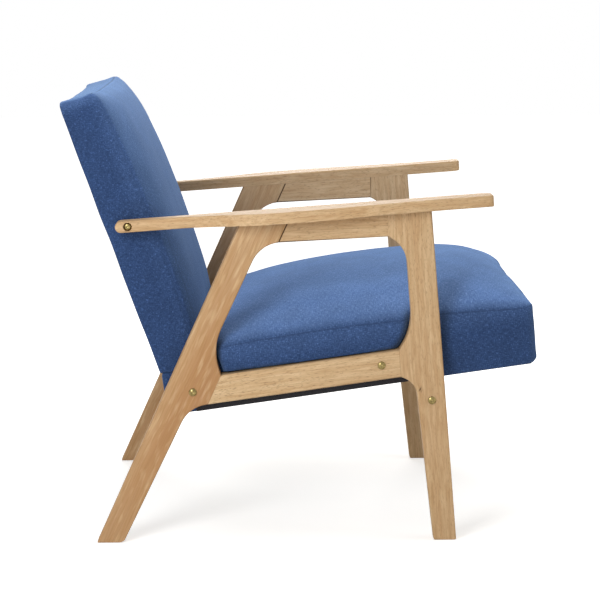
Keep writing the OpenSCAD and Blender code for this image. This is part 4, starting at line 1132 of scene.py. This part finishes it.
def staple_tree():
    """Sets staples along a line at a spacing, each turned a little at random."""
    tree, start, ids = new_tree(
        "staples_along_a_hem", Geometry=("Geometry", None), Spacing=("Float", 0.042), Crown_width=("Float", 0.0095),
        Wire=("Float", 0.0005), Turn=("Float", 0.22), Seed=("Int", 7), Material=("Material", None))
    line = put(tree, "GeometryNodeMeshToCurve", {"Mesh": start["Geometry"]})
    spots = put(tree, "GeometryNodeCurveToPoints", {"Curve": line.outputs[0], "Length": start["Spacing"]},
                mode="LENGTH").outputs
    half = maths(tree, "MULTIPLY", start["Crown width"], 0.5)
    foot, other = (put(tree, "ShaderNodeCombineXYZ", {"X": x, "Z": 0.6 * mm}).outputs[0]
                   for x in (maths(tree, "MULTIPLY", half, -1.0), half))
    crown = put(tree, "GeometryNodeCurveQuadraticBezier", {
        "Resolution": 8, "Start": foot, "Middle": (0, 0, -1.3 * mm), "End": other})
    wire_form = put(tree, "GeometryNodeCurvePrimitiveCircle", {"Resolution": 8, "Radius": start["Wire"]})
    bar = put(tree, "GeometryNodeCurveToMesh", {
        "Curve": crown.outputs[0], "Profile Curve": wire_form.outputs[0], "Fill Caps": True})
    spin = put(tree, "FunctionNodeRandomValue", {
        2: maths(tree, "MULTIPLY", start["Turn"], -1.0), 3: start["Turn"], "Seed": start["Seed"]}, data_type="FLOAT")
    turn = put(tree, "ShaderNodeCombineXYZ", {"Z": spin.outputs[1]})
    euler = put(tree, "FunctionNodeEulerToRotation", {"Euler": turn.outputs[0]})
    facing = put(tree, "FunctionNodeAlignRotationToVector", {"Vector": spots["Tangent"]}, axis="X", pivot_axis="Z")
    turned = put(tree, "FunctionNodeRotateRotation", {"Rotation": facing.outputs[0], 1: euler.outputs[0]},
                 rotation_space="LOCAL")
    set_out(tree, start, spots["Points"], bar.outputs[0], turned.outputs[0])
    return tree, ids


def grown(name, mesh, tree, ids, values):
    """Runs a tree on a mesh and returns the result as a plain object."""
    obj = add_object(name, mesh)
    maker = obj.modifiers.new("maker", "NODES")
    maker.node_group = tree
    for key, value in values.items():
        maker[ids[key]] = value
    return settle(obj)


def head_middle(node):
    """Place in the side view of the one bolt head that a node has on each side."""
    low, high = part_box(node)
    return (low[1] + high[1]) / 2, (low[2] + high[2]) / 2


def make_bolts():
    shape = add_object("bolt_shape", head_mesh())
    tree, ids = bolt_tree()
    r = HEAD_R * mm
    low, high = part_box("seat_bolts")
    seat = [(low[1] + r, high[2] - r), (high[1] - r, low[2] + r)]
    # Each node's head places, their distance from the middle and the shanks' length
    for node, places, out, length in (
            ("seat_bolts", seat, BOARD_X + BOARD_HALF, 57.0),
            ("stretcher_bolts", [head_middle("stretcher_bolts")], BOARD_X + BOARD_HALF, 61.0),
            ("arm_bolts", [head_middle("arm_bolts")], ARM_BOLT_X, 54.4)):
        name = f"{node}_domed"
        points = [(side * out * mm, y, z) for side in (-1, 1) for y, z in places]
        mesh = bpy.data.meshes.new(name)
        mesh.from_pydata(points, [], [])
        aims = [(k * 0.5, 0.0, 0.0 if p[0] > 0 else math.pi) for k, p in enumerate(points)]
        write(mesh, "aim", aims, "FLOAT_VECTOR")
        obj = grown(name, mesh, tree, ids, {"Bolt": shape, "Head width": 2 * HEAD_R * mm, "Shank length": length * mm,
                                            "Material": FINISHES["bolt"]})
        claim(obj, node)
    bpy.data.objects.remove(shape)


def make_staples():
    """Staples round the dust sheet's edge, in four rows."""
    tree, ids = staple_tree()
    x, first, last, short = HALF_W - 14.0, 14.0, SEAT_LEN - 12.0, 6.0
    rows = [(-x, first), (x, first), (x, first + short), (x, last - short), (-x, last), (x, last),
            (-x, first + short), (-x, last - short)]
    mesh = bpy.data.meshes.new("dust_sheet_staples")
    mesh.from_pydata([(u * mm, s * mm, -0.75 * mm) for u, s in rows], [(0, 1), (2, 3), (4, 5), (6, 7)], [])
    obj = grown("dust_sheet_staples", mesh, tree, ids, {
        "Spacing": 0.042, "Crown width": 0.0095, "Wire": 0.00035, "Turn": 0.22, "Seed": 7,
        "Material": FINISHES["zinc"]})
    set_points(obj.data, seat_room(points_of(obj.data) / mm))
    smooth(obj.data, 60)
    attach(obj, "root")


make_bolts()
make_staples()

for node in nodes.values():
    for place, slot in enumerate(tuple(node.data.materials)):
        node.data.materials[place] = FINISHES[slot.name.split(".")[0]]


# Stage, lights and camera

FLOOR_HALF, FLOOR_DROP = 9.0, 0.0004
AIR_LEVEL = 0.31
# Each lamp: where it hangs, what it points at, its width and height, and the level it gives there
LAMPS = {
    "near_softbox": ((-1.50, 0.74, 1.03), (-0.2, 0.0, 0.36), (0.62, 0.8), 0.56),
    "far_softbox": ((1.75, 0.1, 1.15), (0.0, 0.0, 0.35), (1.3, 0.9), 0.46),
    "top_softbox": ((0.0, -0.35, 2.2), (0.0, 0.0, 0.35), (1.5, 1.5), 0.28),
    "front_softbox": ((-0.4, -2.3, 1.5), (0.0, 0.0, 0.40), (1.4, 1.2), 0.18),
    "low_softbox": ((-1.8, -0.15, 0.22), (-0.25, 0.0, 0.12), (1.2, 0.4), 0.12),
}


def white_for_camera(tree, white, other):
    """Mixes one shader for camera, glossy and transmitted rays with another for the rest."""
    path = put(tree, "ShaderNodeLightPath").outputs
    seen = maths(tree, "MAXIMUM", path["Is Camera Ray"], path["Is Glossy Ray"])
    seen = maths(tree, "MAXIMUM", seen, path["Is Transmission Ray"])
    return put(tree, "ShaderNodeMixShader", {0: seen, 1: other, 2: white}).outputs[0]


def make_floor():
    """A pale floor that keeps a soft shadow under the chair and fades to white away from it."""
    mesh = bpy.data.meshes.new("studio_floor")
    corners = [(x * FLOOR_HALF, y * FLOOR_HALF, 0) for x, y in ((-1, -1), (1, -1), (1, 1), (-1, 1))]
    mesh.from_pydata(corners, [], [(0, 1, 2, 3)])
    made = bpy.data.materials.new("pale_studio_floor")
    t = blank_tree(made)
    plain = put(t, "ShaderNodeBsdfDiffuse", {"Color": tint("#E9E9E9")})
    away = vectors(t, "LENGTH", put(t, "ShaderNodeTexCoord").outputs["Object"])
    fade = spread_over(t, away, 0.35, 1.5, 0.56, 1.0, interpolation_type="SMOOTHSTEP")
    lift = put(t, "ShaderNodeEmission", {"Color": grey(1), "Strength": fade})
    both = put(t, "ShaderNodeAddShader", {0: plain.outputs[0], 1: lift.outputs[0]})
    put(t, "ShaderNodeOutputMaterial", {"Surface": white_for_camera(t, both.outputs[0], plain.outputs[0])})
    mesh.materials.append(made)
    floor = add_object("studio_floor", mesh)
    floor.location.z = -FLOOR_DROP


def make_air():
    """A faint warm light from all round, seen as plain white."""
    world = bpy.data.worlds.new("studio_air")
    t = blank_tree(world)
    air = put(t, "ShaderNodeBackground", {"Color": tint("#FFF6E6"), "Strength": AIR_LEVEL})
    white = put(t, "ShaderNodeBackground", {"Color": grey(1), "Strength": 1.0})
    put(t, "ShaderNodeOutputWorld", {"Surface": white_for_camera(t, white.outputs[0], air.outputs[0])})
    bpy.context.scene.world = world


def make_lamps():
    for name, (at, aim, size, level) in LAMPS.items():
        light = bpy.data.lights.new(name, "AREA")
        light.shape, (light.size, light.size_y) = "RECTANGLE", size
        way = Vector(aim) - Vector(at)
        light.energy = level * (math.pi * way.length) ** 2
        lamp = add_object(name, light)
        lamp.location = at
        lamp.rotation_euler = way.to_track_quat("-Z", "Y").to_euler()
        lamp.visible_camera = False


def make_camera():
    yaw, pitch, roll = (math.radians(a) for a in (CAMERA_YAW, CAMERA_PITCH, CAMERA_ROLL))
    ahead = Vector((math.cos(pitch) * math.cos(yaw), -math.cos(pitch) * math.sin(yaw), -math.sin(pitch)))
    right = ahead.cross(Vector((0, 0, 1))).normalized()
    up = right.cross(ahead)
    right, up = right * math.cos(roll) + up * math.sin(roll), up * math.cos(roll) - right * math.sin(roll)
    data = bpy.data.cameras.new("photograph_view")
    data.lens, data.sensor_width = CAMERA_LENS, CAMERA_FILM
    data.clip_start, data.clip_end = 0.05, 60.0
    camera = add_object("photograph_view", data)
    rows = [(right[k], up[k], -ahead[k], CAMERA_AT[k]) for k in range(3)]
    camera.matrix_world = Matrix((*rows, (0, 0, 0, 1)))
    bpy.context.scene.camera = camera


make_floor()
make_air()
make_lamps()
make_camera()
bpy.context.scene.view_settings.view_transform = "Standard"
